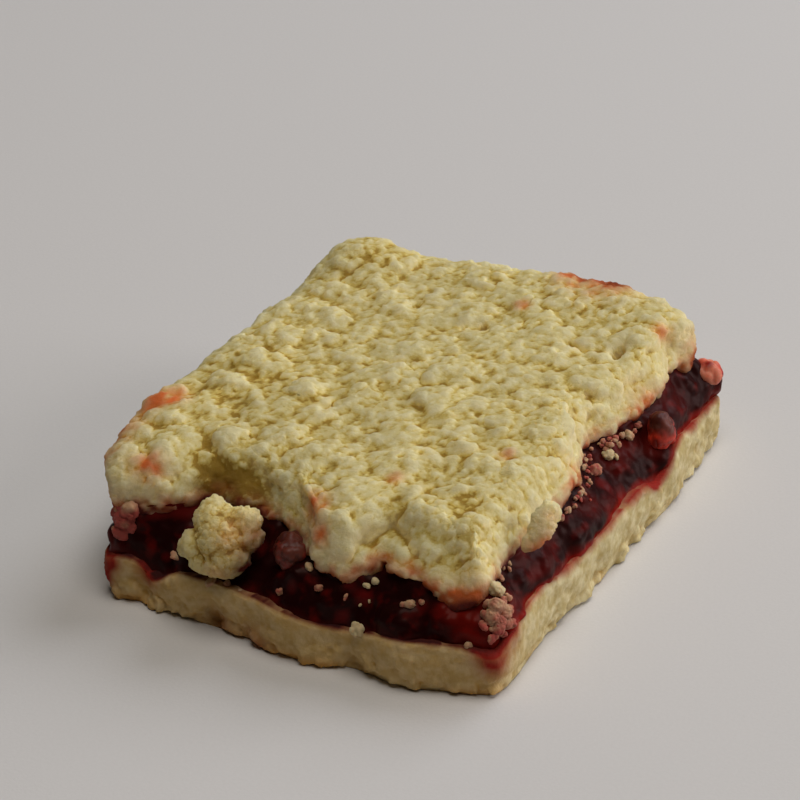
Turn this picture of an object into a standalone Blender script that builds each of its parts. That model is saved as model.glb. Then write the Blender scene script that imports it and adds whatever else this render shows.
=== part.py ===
"""A cut slice of cherry crumble: a shortcrust base, a cherry filling and a crumble topping.

The slice stands on the plane z = 0. The origin is the middle of its underside, +X is the slice's right,
-Y is its front cut, and +Z is up. Sizes below are in millimetres, and the model is in metres.
"""
import bpy
import numpy as np

MM = 0.001

# Driving sizes.
WIDTH = 76.0
DEPTH = 90.0
BASE_HEIGHT = 9.4
FILLING_HEIGHT = 16.4
TOPPING_HEIGHT = 25.6
GAP = 0.35

# The faces that meet inside dip from their wavy rim to a level middle: the middle's share of the width.
BASE_INNER = 0.84
BASE_MIDDLE = 8.2
FILLING_INNER = 0.8

# The slice seen from above is a square grid, pulled to the cut outline, whose corners draw in by CORNER.
COLUMNS = 38
ROWS = 44
CORNER = 0.05

# The base's wall: its rounded foot and shoulder as (inwards, upwards), and how far it bulges between them.
BASE_FOOT = (0.9, 1.1)
BASE_SHOULDER = (0.6, 0.8)
BASE_BULGE = 0.3

# Every feature is one soft bump or dip: its place (x, y), its reach and its amount.
BASE_EDGE = (
    (-30, -45, 9, -1.2),
    (-39, -44, 6, 2.8),
    (1, -45, 8, 2.4),
    (20, -45, 7, 1.9),
    (38, -24, 12, -1.6),
    (38, 19, 7, 1.2),
    (38, 44, 6, 2.0),
    (20, 45, 8, 0.9),
    (-12, 45, 9, -1.2),
    (-38, 20, 10, 0.8),
    (-38, -12, 12, -0.8),
)
BASE_TOP = (
    (-38, -43, 3, -1.6),
    (-27, -45, 3.4, -3.2),
    (9, -45, 7, -1.6),
    (37, -44, 4, -1.6),
    (38, -30, 9, 1.6),
    (38, 15.5, 3.2, -2.2),
    (38, 24.5, 4, 1.8),
    (14, 45, 6, -2.4),
    (-22, 45, 8, 1.1),
    (-38, 26, 7, -2.2),
    (-38, -8, 9, 1.0),
)
# The foot of the topping is set back from the cut outline, more on the front and right cuts.
SETBACK_FRONT = 4.6
SETBACK_BACK = 0.6
SETBACK = (
    (-20, -45, 5.6, 7.2),
    (-12, -45, 5.6, 7.0),
    (-4.5, -45, 4.2, 4.4),
    (7, -45, 6, -2.6),
    (13.5, -45, 2.6, 2.6),
    (28, -45, 7, -1.4),
    (38, 7, 6, 4.2),
    (38, 29, 8, -1.0),
    (-39, -46, 8, -0.8),
    (38, 45, 12, 2.6),
    (-38, -12, 24, -2.4),
    (-38, -27, 11, -1.9),
    (12, 45, 24, -2.4),
)
FILLING_TOP = (
    (-31, -44, 6, 0.6),
    (-39, -43, 5, -2.6),
    (7, -43, 5, -2.6),
    (13.5, -43, 2.4, 1.6),
    (30, -43, 7, -2.0),
    (38, -10, 8, 0.8),
    (14, 45, 9, -1.2),
    (-38, 10, 10, 1.0),
)
TOPPING_TOP = (
    (-34, 40, 9, 2.2),
    (-4, 47, 24, 1.2),
    (-17, -40, 7, -2.2),
    (14, -22, 5, -1.4),
    (22, 28, 5, -1.2),
    (19, 44, 12, 1.3),
    (30, 33, 8, 0.8),
    (-24, 0, 7, 0.7),
    (2, 8, 10, 0.6),
    (-6, 26, 6, -0.8),
)
# The filling starts just inside the base's edge and swells out on its way to the topping's foot.
FILLING_LEDGE = 0.4
FILLING_SWELL = 0.9
SWELL_MORE = ((38, 44, 7, 2.4),)
# The topping's wall swells past its foot by the belly, and its upper edge lies back from there by the lean.
BELLY_FRONT = 0.2
BELLY_BACK = 2.3
LEAN_FRONT = 3.0
LEAN_BACK = 0.3
LEAN_MORE = (
    (20, -45, 11, 4.8),
    (30, -45, 6, 2.4),
    (38, 24, 14, 0.8),
)
# The top falls by the edge drop towards its edge, over a wider band (a lower power) at the front and right.
EDGE_DROP = 3.4
BACK_SHARPNESS = 24
FRONT_SHARPNESS = 10

# Relief of each layer: how far apart its domes are, their least and greatest radius, their height, and how
# far the surface is sunk first. The crumble's domes are as high as a share of their radius.
BASE_DOMES = dict(spacing=3.2, radii=(1.6, 3.0), height=0.6, sunk=0.2, seed=8)
FILLING_DOMES = dict(spacing=4.0, radii=(2.4, 4.4), height=0.9, sunk=0.0, seed=11)
CRUMBLE_DOMES = dict(spacing=4.2, radii=(2.6, 4.2), height=0.6, sunk=1.2, seed=4)

# Loose-looking pieces: centre, radii, turn about the vertical and tilt in degrees, and relief.
SLIPPED_LUMP = dict(centre=(-14.4, -41.2, 16.4), radii=(7.2, 6.8, 4.0), turn=-4, tilt=32, relief=2.2, seed=2)
SIDE_LUMP = dict(centre=(34.9, -23.8, 20.8), radii=(2.5, 2.9, 4.5), turn=0, tilt=-40, relief=0.5, seed=3)
CHERRIES = dict(
    cherry_right=dict(centre=(36.0, 21.0, 13.2), radii=(2.5, 3.0, 4.6), turn=10, tilt=24, relief=0.3, seed=5),
    cherry_corner=dict(centre=(35.3, 41.8, 13.8), radii=(2.9, 2.9, 2.6), turn=40, tilt=0, relief=0.4, seed=6),
    cherry_front=dict(centre=(-2.6, -38.9, 15.6), radii=(3.2, 3.2, 2.6), turn=0, tilt=20, relief=0.4, seed=7),
)
LUMP_STEPS = (24, 16)
CHERRY_STEPS = (14, 9)

CRUMBLE = (0.80, 0.72, 0.50)
CRUST = (0.78, 0.70, 0.47)
CHERRY_JAM = (0.22, 0.02, 0.03)
CHERRY = (0.62, 0.11, 0.09)


def clear_scene():
    for thing in list(bpy.data.objects):
        bpy.data.objects.remove(thing, do_unlink=True)


def finish(name, colour, roughness):
    """A plain material: the sub-part's colour, given as it looks on a screen, and its roughness."""
    material = bpy.data.materials.new(name)
    material.use_nodes = True
    shader = material.node_tree.nodes["Principled BSDF"]
    linear = [((c + 0.055) / 1.055) ** 2.4 for c in colour]
    shader.inputs["Base Color"].default_value = (*linear, 1)
    shader.inputs["Roughness"].default_value = roughness
    return material


def solid(name, points, faces, material):
    """One closed object from points in millimetres."""
    mesh = bpy.data.meshes.new(name)
    mesh.from_pydata((points * MM).tolist(), [], faces)
    mesh.materials.append(material)
    mesh.shade_smooth()
    made = bpy.data.objects.new(name, mesh)
    bpy.context.scene.collection.objects.link(made)
    return made


def feature_sum(place, base, features):
    """base plus each feature's amount times exp(-(distance / reach)^2), at the points place."""
    total = np.zeros(len(place)) + base
    for x, y, reach, amount in features:
        square = (place[:, 0] - x) ** 2 + (place[:, 1] - y) ** 2
        total += amount * np.exp(-square / reach**2)
    return total


def rim_parameters():
    """The square's edge, u and v from -1 to 1, anticlockwise from the front left corner."""
    u = np.linspace(-1, 1, COLUMNS + 1)[:-1]
    v = np.linspace(-1, 1, ROWS + 1)[:-1]
    front = np.column_stack([u, -np.ones(COLUMNS)])
    right = np.column_stack([np.ones(ROWS), v])
    return np.vstack([front, right, -front, -right])


def plan(parameters):
    """Pulls the square to a rectangle whose corners are rounded by the eighth power of u and v."""
    u, v = parameters.T
    x = WIDTH / 2 * u * (1 - CORNER * v**8)
    y = DEPTH / 2 * v * (1 - CORNER * u**8)
    return np.column_stack([x, y])


def outward(parameters):
    """Level directions that point out of the slice, turning smoothly round each corner."""
    direction = parameters**7
    return direction / np.linalg.norm(direction, axis=1, keepdims=True)


RIM = rim_parameters()
PLAN = plan(RIM)
OUT = outward(RIM)
FACING = np.clip(0.5 + 0.9 * (OUT @ np.array([0.62, -0.78])), 0, 1)


def ring(offset, height):
    """A closed line round the slice, offset outwards from the nominal outline."""
    level = PLAN + OUT * np.reshape(offset, (-1, 1))
    return np.column_stack([level, np.zeros(len(level)) + height])


def base_edge():
    return feature_sum(PLAN, 0, BASE_EDGE)


def base_top():
    return feature_sum(PLAN, BASE_HEIGHT, BASE_TOP)


def setback():
    """How far the foot of the topping lies inside the nominal outline."""
    plain = SETBACK_BACK + (SETBACK_FRONT - SETBACK_BACK) * FACING
    return feature_sum(PLAN, plain, SETBACK)


def filling_top():
    return feature_sum(PLAN, FILLING_HEIGHT, FILLING_TOP)


def inner_ring(outer, share, height):
    """A level ring inside a wavy one, from which a hidden face runs on flat."""
    inner = outer * share
    inner[:, 2] = height
    return inner


def band(lower, upper, count):
    """Quads between two rings whose first points are numbered lower and upper."""
    a = np.arange(count)
    b = (a + 1) % count
    return np.column_stack([lower + a, lower + b, upper + b, upper + a]).tolist()


def apron(outer, inner, count, faces_up):
    """Triangles of a hidden face, from its rim to its inner ring, split alike in both layers there."""
    a = np.arange(count)
    b = (a + 1) % count
    near = np.column_stack([outer + a, outer + b, inner + b])
    far = np.column_stack([outer + a, inner + b, inner + a])
    triangles = np.vstack([near, far])
    return (triangles if faces_up else triangles[:, ::-1]).tolist()


def cap(first, count, faces_up):
    """One flat face inside a level ring."""
    ring_points = [first + i for i in range(count)]
    return ring_points if faces_up else ring_points[::-1]


def base_crust():
    edge = base_edge()
    top = base_top()
    rings = [
        ring(edge - BASE_FOOT[0], 0),
        ring(edge, BASE_FOOT[1]),
        ring(edge + BASE_BULGE, top / 2),
        ring(edge, top - BASE_SHOULDER[1]),
        ring(edge - BASE_SHOULDER[0], top),
    ]
    rings.append(inner_ring(rings[-1], BASE_INNER, BASE_MIDDLE))
    points = np.vstack(rings)
    count = len(PLAN)
    last = len(rings) - 1
    faces = [cap(0, count, faces_up=False), cap(last * count, count, faces_up=True)]
    for level in range(last - 1):
        faces += band(level * count, (level + 1) * count, count)
    faces += apron((last - 1) * count, last * count, count, faces_up=True)
    raise_side(points, 1, last - 1, BASE_DOMES)
    return solid("base_crust", points, faces, finish("crust", CRUST, 0.8))


def raise_side(points, first, last, relief):
    """Pushes the rings from first up to last outwards, level, over domes scattered on them."""
    side = slice(first * len(PLAN), last * len(PLAN))
    draw = np.random.default_rng(relief["seed"])
    centres = points[side][spread(points[side], relief["spacing"], draw)]
    lift = domes(points[side], centres, draw.uniform(*relief["radii"], len(centres)), relief["height"])
    points[side, :2] += np.tile(OUT, (last - first, 1)) * (lift - relief["sunk"])[:, None]


def domes(points, centres, radii, heights):
    """The upper envelope of round domes: for each point, the tallest dome that it lies under."""
    apart = np.linalg.norm(points[:, None] - centres[None], axis=2) / radii
    return (heights * np.sqrt(np.clip(1 - apart**2, 0, None))).max(axis=1)


def spread(points, spacing, draw):
    """Indices of points drawn at random, none nearer to another than spacing."""
    kept = []
    for index in draw.permutation(len(points)):
        if not kept or np.linalg.norm(points[kept] - points[index], axis=1).min() > spacing:
            kept.append(index)
    return np.array(kept)


def cherry_filling():
    """The filling: its side slopes from the base's edge up to the topping's foot, over lumps of fruit."""
    edge = base_edge()
    foot = setback()
    low = base_top() + GAP
    high = filling_top()
    swell = feature_sum(PLAN, FILLING_SWELL, SWELL_MORE)
    outer = ring(edge - BASE_SHOULDER[0], low)
    rings = [inner_ring(outer, BASE_INNER, BASE_MIDDLE + GAP), outer]
    for share in (0.22, 0.45, 0.7, 0.88):
        offset = (1 - share) * (edge - FILLING_LEDGE) - share * foot + swell * np.sin(np.pi * share)
        rings.append(ring(offset, low + (high - low) * share))
    rings.append(ring(-foot, high))
    rings.append(inner_ring(rings[-1], FILLING_INNER, FILLING_HEIGHT))
    points = np.vstack(rings)
    count = len(PLAN)
    last = len(rings) - 1
    faces = [cap(0, count, faces_up=False), cap(last * count, count, faces_up=True)]
    faces += apron(count, 0, count, faces_up=False)
    for level in range(1, last - 1):
        faces += band(level * count, (level + 1) * count, count)
    faces += apron((last - 1) * count, last * count, count, faces_up=True)
    raise_side(points, 2, last - 1, FILLING_DOMES)
    return solid("cherry_filling", points, faces, finish("jam", CHERRY_JAM, 0.25))


def topping_grid(edge_ring, height_of):
    """The topping's upper surface: a Coons patch inside its edge, lifted to height_of(place)."""
    front = edge_ring[: COLUMNS + 1]
    right = edge_ring[COLUMNS : COLUMNS + ROWS + 1]
    back = edge_ring[COLUMNS + ROWS : 2 * COLUMNS + ROWS + 1][::-1]
    left = np.vstack([edge_ring[2 * COLUMNS + ROWS :], edge_ring[:1]])[::-1]
    a = np.linspace(0, 1, COLUMNS + 1)[:, None, None]
    b = np.linspace(0, 1, ROWS + 1)[None, :, None]
    across = (1 - a) * left[None] + a * right[None]
    along = (1 - b) * front[:, None] + b * back[:, None]
    corners = (1 - b) * ((1 - a) * front[0] + a * front[-1]) + b * ((1 - a) * back[0] + a * back[-1])
    patch = across + along - corners
    across_share, along_share = 2 * a[..., 0] - 1, 2 * b[..., 0] - 1
    back_left = np.maximum(-across_share, along_share).clip(0) ** BACK_SHARPNESS
    front_right = np.maximum(across_share, -along_share).clip(0) ** FRONT_SHARPNESS
    nearness = np.maximum(back_left, front_right)
    flat = patch.reshape(-1, 3)
    patch[..., 2] = height_of(flat).reshape(patch.shape[:2]) - EDGE_DROP * nearness
    return patch


def crumble_topping():
    """The topping: a wall round its foot, a rounded edge and a lumpy top."""
    foot = setback()
    low = filling_top() + GAP
    belly = BELLY_BACK + (BELLY_FRONT - BELLY_BACK) * FACING
    lean = feature_sum(PLAN, LEAN_BACK + (LEAN_FRONT - LEAN_BACK) * FACING, LEAN_MORE)

    def height_of(place):
        return feature_sum(place, TOPPING_HEIGHT, TOPPING_TOP)

    edge = ring(belly - foot - lean, 0)
    edge[:, 2] = height_of(edge) - EDGE_DROP
    rings = [inner_ring(ring(-foot, low), FILLING_INNER, FILLING_HEIGHT + GAP), ring(-foot, low)]
    for share in (0.12, 0.35, 0.6, 0.82):
        offset = belly * np.sin(np.pi * min(share * 1.1, 0.5)) - foot - lean * share**2
        rings.append(ring(offset, low + (edge[:, 2] - low) * share))
    count = len(PLAN)
    faces = [cap(0, count, faces_up=False)] + apron(count, 0, count, faces_up=False)
    for level in range(1, len(rings) - 1):
        faces += band(level * count, (level + 1) * count, count)
    points = np.vstack(rings)
    patch = topping_grid(edge, height_of)
    start = len(points)
    points = np.vstack([points, patch.reshape(-1, 3)])
    number = start + np.arange((COLUMNS + 1) * (ROWS + 1)).reshape(COLUMNS + 1, ROWS + 1)
    quads = np.stack([number[:-1, :-1], number[1:, :-1], number[1:, 1:], number[:-1, 1:]], axis=-1)
    faces += quads.reshape(-1, 4).tolist()
    border = np.concatenate([number[:-1, 0], number[-1, :-1], number[:0:-1, -1], number[0, :0:-1]])
    last = (len(rings) - 1) * count + np.arange(count)
    following = np.roll(border, -1)
    faces += np.column_stack([last, np.roll(last, -1), following, border]).tolist()
    moved = slice(2 * count, len(points))
    points[moved] = lumpy(points, faces, moved)
    return solid("crumble_topping", points, faces, finish("crumble", CRUMBLE, 0.9))


def point_normals(points, faces):
    """Outward directions at the points: the sum of the crossed diagonals of the quads round each."""
    quads = np.array([face for face in faces if len(face) == 4])
    p = points[quads]
    crossed = np.cross(p[:, 2] - p[:, 0], p[:, 3] - p[:, 1])
    total = np.zeros_like(points)
    for corner in range(4):
        np.add.at(total, quads[:, corner], crossed)
    return total / np.maximum(np.linalg.norm(total, axis=1, keepdims=True), 1e-9)


def lumpy(points, faces, moved):
    """Lifts the moved points along their normals, over round lumps of crumble of several sizes."""
    draw = np.random.default_rng(CRUMBLE_DOMES["seed"])
    normals = point_normals(points, faces)[moved]
    skin = points[moved]
    centres = skin[spread(skin, CRUMBLE_DOMES["spacing"], draw)]
    radii = draw.uniform(*CRUMBLE_DOMES["radii"], len(centres))
    lift = domes(skin, centres, radii, CRUMBLE_DOMES["height"] * radii)
    return skin + normals * (lift - CRUMBLE_DOMES["sunk"])[:, None]


def blob(steps, centre, radii, turn, tilt, relief, seed, grow=0.0):
    """A round lump as points and faces: an ellipsoid grown by grow, with domes, tilted and turned."""
    segments, rows = steps
    azimuth = np.linspace(0, 2 * np.pi, segments, endpoint=False)
    polar = np.linspace(0, np.pi, rows + 1)[1:-1]
    a, p = np.meshgrid(azimuth, polar)
    level = np.stack([np.sin(p) * np.cos(a), np.sin(p) * np.sin(a), np.cos(p)], axis=-1).reshape(-1, 3)
    unit = np.vstack([level, [0, 0, 1], [0, 0, -1]])
    draw = np.random.default_rng(seed)
    centres = unit[spread(unit, 0.62, draw)]
    lift = domes(unit, centres, draw.uniform(0.38, 0.66, len(centres)), relief)
    points = unit * (np.array(radii) + grow) + unit * (lift - 0.6 * relief)[:, None]
    points = points @ turned(turn, tilt).T + np.array(centre)
    faces = []
    for row in range(rows - 2):
        faces += band((row + 1) * segments, row * segments, segments)
    top, bottom, last = len(level), len(level) + 1, (rows - 2) * segments
    for i in range(segments):
        after = (i + 1) % segments
        faces.append([i, after, top])
        faces.append([last + after, last + i, bottom])
    return points, faces


def turned(turn, tilt):
    """A rotation: tilt about X, then turn about Z, in degrees."""
    a, b = np.radians([tilt, turn])
    about_x = np.array([[1, 0, 0], [0, np.cos(a), -np.sin(a)], [0, np.sin(a), np.cos(a)]])
    about_z = np.array([[np.cos(b), -np.sin(b), 0], [np.sin(b), np.cos(b), 0], [0, 0, 1]])
    return about_z @ about_x


def nest(name, steps, shape, material, hosts):
    """A lump that lies in a socket of each host, with the gap all round it."""
    piece = solid(name, *blob(steps, **shape), material)
    cutter = solid(name + ".socket", *blob(steps, **shape, grow=GAP), material)
    cutter.hide_render = True
    cutter.display_type = "WIRE"
    for host in hosts:
        cut = host.modifiers.new(name, "BOOLEAN")
        cut.operation = "DIFFERENCE"
        cut.object = cutter
    return piece


def build():
    clear_scene()
    base = base_crust()
    filling = cherry_filling()
    topping = crumble_topping()
    crumble = topping.data.materials[0]
    cherry = finish("cherry", CHERRY, 0.3)
    nest("slipped_lump", LUMP_STEPS, SLIPPED_LUMP, crumble, [filling, topping])
    nest("side_lump", CHERRY_STEPS, SIDE_LUMP, crumble, [filling, topping])
    for name, shape in CHERRIES.items():
        nest(name, CHERRY_STEPS, shape, cherry, [base, filling, topping])


build()
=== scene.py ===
# %% [markdown]
# A hand-cut slice of cherry crumble: a pale shortcrust base, a dark cherry filling that shows at the cuts,
# and a thick crumble topping. The solids of the slice are loaded as a frame, and every layer is then made
# again as a fine surface of the same form. It could be sculpted by hand, but a surface worked out from
# numbers can be measured against the frame and changed by one value. All sizes are in millimetres until a
# mesh is written.

# %% Load the frame
import itertools
import math

import bpy
import numpy as np
from mathutils import Matrix, Vector


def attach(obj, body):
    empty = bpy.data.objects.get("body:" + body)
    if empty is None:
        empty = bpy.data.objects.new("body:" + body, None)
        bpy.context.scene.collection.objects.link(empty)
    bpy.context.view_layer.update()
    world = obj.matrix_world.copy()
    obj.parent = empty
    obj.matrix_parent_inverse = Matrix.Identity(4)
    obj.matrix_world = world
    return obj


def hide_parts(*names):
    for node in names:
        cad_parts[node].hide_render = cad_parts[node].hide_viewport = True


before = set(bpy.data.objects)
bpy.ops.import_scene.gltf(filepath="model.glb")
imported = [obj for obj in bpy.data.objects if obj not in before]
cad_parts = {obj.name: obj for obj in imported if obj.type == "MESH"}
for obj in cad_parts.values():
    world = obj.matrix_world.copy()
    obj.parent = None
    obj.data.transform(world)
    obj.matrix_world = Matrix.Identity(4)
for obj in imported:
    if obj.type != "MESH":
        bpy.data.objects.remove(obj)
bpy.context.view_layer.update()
MM = 0.001
print("nodes:", sorted(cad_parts))

# %% [markdown]
# The slice was cut by hand, so no edge is straight. Each line that runs round it, such as the foot of the
# topping, could be drawn point by point. A plain value plus a few soft bumps and dips says the same in a few
# numbers. A feature is (x, y, reach, amount), and adds amount times exp(-(distance / reach) squared).

# %% Sizes of the cut slice
WIDTH = 76.0
DEPTH = 90.0
BASE_HEIGHT = 9.4
FILLING_HEIGHT = 16.4
TOPPING_HEIGHT = 25.6
CORNER = 0.05

# The hidden faces between the layers: the share of the plan at which they turn flat, and their height.
BASE_INNER = 0.84
BASE_MIDDLE = 8.2
FILLING_INNER = 0.8
FILLING_MIDDLE = 17.0
SEAM = 0.05

# The base's edge, seen from above, and the height of its top round the slice.
BASE_EDGE = (
    (-30, -45, 9, -1.2),
    (-39, -44, 6, 2.8),
    (1, -45, 8, 2.4),
    (20, -45, 7, 1.9),
    (38, -24, 12, -1.6),
    (38, 19, 7, 1.2),
    (38, 44, 6, 2.0),
    (20, 45, 8, 0.9),
    (-12, 45, 9, -1.2),
    (-38, 20, 10, 0.8),
    (-38, -12, 12, -0.8),
)
BASE_TOP = (
    (-38, -43, 3, -1.6),
    (-27, -45, 3.4, -3.2),
    (9, -45, 7, -1.6),
    (37, -44, 4, -1.6),
    (38, -30, 9, 1.6),
    (38, 15.5, 3.2, -2.2),
    (38, 24.5, 4, 1.8),
    (14, 45, 6, -2.4),
    (-22, 45, 8, 1.1),
    (-38, 26, 7, -2.2),
    (-38, -8, 9, 1.0),
)

# How far the topping's foot stands back from the cuts, and the height of the filling under it.
SETBACK_FRONT = 4.6
SETBACK_BACK = 0.6
SETBACK = (
    (-20, -45, 5.6, 7.2),
    (-12, -45, 5.6, 7.0),
    (-4.5, -45, 4.2, 4.4),
    (7, -45, 6, -2.6),
    (13.5, -45, 2.6, 2.6),
    (28, -45, 7, -1.4),
    (38, 7, 6, 4.2),
    (38, 29, 8, -1.0),
    (-39, -46, 8, -0.8),
    (38, 45, 12, 2.6),
    (-38, -12, 24, -2.4),
    (-38, -27, 11, -1.9),
    (12, 45, 24, -2.4),
)
FILLING_TOP = (
    (-31, -44, 6, 0.6),
    (-39, -43, 5, -2.6),
    (7, -43, 5, -2.6),
    (13.5, -43, 2.4, 1.6),
    (30, -43, 7, -2.0),
    (38, -10, 8, 0.8),
    (14, 45, 9, -1.2),
    (-38, 10, 10, 1.0),
)

# The height of the topping, and how its sides belly out and lean back. FRONT stands for the seen cuts.
TOPPING_TOP = (
    (-34, 40, 9, 2.2),
    (-4, 47, 24, 1.2),
    (-17, -40, 7, -2.2),
    (14, -22, 5, -1.4),
    (22, 28, 5, -1.2),
    (19, 44, 12, 1.3),
    (30, 33, 8, 0.8),
    (-24, 0, 7, 0.7),
    (2, 8, 10, 0.6),
    (-6, 26, 6, -0.8),
)
LEAN_MORE = (
    (20, -45, 11, 4.8),
    (30, -45, 6, 2.4),
    (38, 24, 14, 0.8),
)
BELLY_FRONT = 0.2
BELLY_BACK = 2.3
LEAN_FRONT = 3.0
LEAN_BACK = 0.3
EDGE_DROP = 3.4
EDGE_SHARPNESS = 24
FRONT_SHARPNESS = 10

# %% [markdown]
# Seen from above the slice is a square grid, pulled to a rectangle with rounded corners. The grid's border
# gives the points of every ring, so that walls and faces meet point to point. A knife leaves no sharp
# corner in crumble, so the border is eased there: each point is moved to the middle of its neighbours.

# %% The plan and its rings
COLUMNS = 220
ROWS = 258
CORNER_EASE = 16
TO_SEEN_CUTS = np.array([0.62, -0.78])


def feature_sum(place, base, features):
    """base plus each feature's amount times exp(-(distance / reach)^2), at the points place."""
    total = np.zeros(len(place)) + base
    for x, y, reach, amount in features:
        square = (place[:, 0] - x) ** 2 + (place[:, 1] - y) ** 2
        total += amount * np.exp(-square / reach**2)
    return total


def rim_parameters():
    """The square's border, u and v from -1 to 1, anticlockwise from the front left corner."""
    u = np.linspace(-1, 1, COLUMNS + 1)[:-1]
    v = np.linspace(-1, 1, ROWS + 1)[:-1]
    front = np.column_stack([u, -np.ones(COLUMNS)])
    right = np.column_stack([np.ones(ROWS), v])
    return np.vstack([front, right, -front, -right])


def eased(line, times):
    """A closed line after each point was moved, several times, half way to the middle of its neighbours."""
    for _ in range(times):
        line = (np.roll(line, 1, axis=0) + 2 * line + np.roll(line, -1, axis=0)) / 4
    return line


# The sides bow in by the eighth power of the distance along them, and OUT points away from the nearest side.
# FACING is 1 on the front and right cuts and 0 on the hidden ones. RIGHT_CUT is 1 on the right cut alone.
RIM = rim_parameters()
COUNT = len(RIM)
BOWED = np.column_stack([1 - CORNER * RIM[:, 1] ** 8, 1 - CORNER * RIM[:, 0] ** 8])
PLAN = eased(np.array([WIDTH / 2, DEPTH / 2]) * RIM * BOWED, CORNER_EASE)
OUT = eased(RIM**7 / np.linalg.norm(RIM**7, axis=1, keepdims=True), CORNER_EASE)
OUT /= np.linalg.norm(OUT, axis=1, keepdims=True)
FACING = np.clip(0.5 + 0.9 * (OUT @ TO_SEEN_CUTS), 0, 1)
RIGHT_CUT = np.clip(OUT[:, 0], 0, 1) ** 2
EDGE = feature_sum(PLAN, 0, BASE_EDGE)
BASE_LINE = feature_sum(PLAN, BASE_HEIGHT, BASE_TOP)
FOOT = feature_sum(PLAN, SETBACK_BACK + (SETBACK_FRONT - SETBACK_BACK) * FACING, SETBACK)
FOOT_LINE = feature_sum(PLAN, FILLING_HEIGHT, FILLING_TOP)
SPACING = 2 * (WIDTH + DEPTH) / COUNT
print("ring points:", COUNT, "spacing:", round(SPACING, 2), "mm")


def ring(offset, height):
    """A closed line round the slice, offset outwards from the cut outline."""
    level = PLAN + OUT * np.reshape(offset, (-1, 1))
    return np.column_stack([level, np.zeros(COUNT) + height])


def every_ring(numbers, rings):
    """One number for each point of a ring, repeated for a wall of several rings."""
    return np.tile(numbers, rings)


def inner_ring(outer, share, height):
    """A level ring inside a wavy one, from which a hidden face runs on flat."""
    inner = outer * share
    inner[:, 2] = height
    return inner


def bands(first, rings):
    """The quads of a wall: rings of COUNT points, one above the other, numbered from first."""
    a = np.arange(COUNT)
    b = (a + 1) % COUNT
    low = first + COUNT * np.arange(rings - 1)[:, None]
    return np.stack([low + a, low + b, low + COUNT + b, low + COUNT + a], axis=-1).reshape(-1, 4)


def grid_quads(number):
    """The quads between neighbouring points of a square grid, whose points are numbered by an array."""
    corners = [number[:-1, :-1], number[1:, :-1], number[1:, 1:], number[:-1, 1:]]
    return np.stack(corners, axis=-1).reshape(-1, 4)


def closed_faces(rings):
    """The quads of a wall of rings, with a flat face that closes its foot and one that closes its top."""
    last = COUNT * (rings - 1)
    return [bands(0, rings), [list(range(COUNT))[::-1]], [list(range(last, last + COUNT))]]


# %% [markdown]
# Crumble, shortcrust and jam are all lumps on lumps. Space is cut into cubes, and a round lump sits at a
# random place in each. A point of a surface is lifted by the tallest lump over it, so neighbouring lumps
# meet in a crease, or by the sum of soft lumps where the stuff is wet and runs together. A displace modifier
# could do this with a noise texture, but it has no lumps that overlap and cast their own small shadows.

# %% Lumps in cells
LUMP_TIPPED = 0.6
LUMP_LOWERED = 0.7


def chances(cells, seed, count):
    """Numbers from 0 to 1, count for every cell, always the same for the same cell and seed.

    Large odd numbers scramble the bits of the cell's place, and each next number scrambles them again.
    """
    mixed = cells[:, 0] * 374761393 + cells[:, 1] * 668265263 + cells[:, 2] * 974634777 + seed * 1274126177
    mixed = mixed & 0xFFFFFFFF
    mixed = ((mixed ^ (mixed >> 13)) * 1103515245) & 0xFFFFFFFF
    numbers = []
    for _ in range(count):
        mixed = ((mixed ^ (mixed >> 15)) * 1597334677 + 12345) & 0xFFFFFFFF
        numbers.append((mixed >> 8) / 0xFFFFFF)
    return numbers


def lumps(points, cell, seed, low=0.5, high=0.95, power=0.5, join=4, share=1.0, chunky=0.0):
    """Height of the lumps over each point, in cells.

    A lump of radius r is r * (1 - distance^2 / r^2) ^ power high: power 0.5 is a ball, 1 is a mound.
    chunky flattens each lump along an axis of its own, tips its top towards that axis and makes some low.
    Heights are joined as the join-th root of the sum of their join-th powers: 1 melts the lumps together,
    and a large number keeps a sharp crease. share is the part of the cells that hold a lump at all.
    """
    home = np.floor(points / cell).astype(np.int64)
    lift = np.zeros(len(points))
    for step in itertools.product((-1, 0, 1), repeat=3):
        corner = home + np.array(step)
        x, y, z, size, kept, turn, level = chances(corner, seed, 7)
        radius = np.where(kept < share, low + (high - low) * size, 0.01)
        away = points / cell - corner - np.column_stack([x, y, z])
        level = 2 * level - 1
        flat = np.sqrt(1 - level**2)
        axis = np.column_stack([flat * np.cos(2 * np.pi * turn), flat * np.sin(2 * np.pi * turn), level])
        along = (away * axis).sum(axis=1) / radius
        square = (away**2).sum(axis=1) / radius**2 + chunky * along**2
        tipped = 1 + LUMP_TIPPED * min(chunky, 1) * np.clip(along, -1, 1)
        tall = 1 - LUMP_LOWERED * min(chunky, 1) * np.clip(kept / share, 0, 1)
        lift += (radius * np.clip(1 - square, 0, None) ** power * tipped * tall) ** join
    return lift ** (1 / join)


def noise(points, cell, seed):
    """Smooth value noise from 0 to 1: the random corners of each cell, blended by smooth weights."""
    scaled = points / cell
    home = np.floor(scaled).astype(np.int64)
    part = scaled - home
    part = part * part * (3 - 2 * part)
    total = np.zeros(len(points))
    for step in itertools.product((0, 1), repeat=3):
        weight = np.prod(np.where(np.array(step) == 1, part, 1 - part), axis=1)
        total += weight * chances(home + np.array(step), seed, 1)[0]
    return total


def patches(points, cell, seed, slope, cut):
    """Soft patches from 0 to 1: the noise times slope, less cut."""
    return np.clip(noise(points, cell, seed) * slope - cut, 0, 1)


def stirred(points, cell, reach, seed):
    """The points moved about by up to half of reach, so that lumps read there aren't round."""
    moved = np.column_stack([noise(points, cell, seed + k) for k in range(3)])
    return points + (moved - 0.5) * reach


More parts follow.
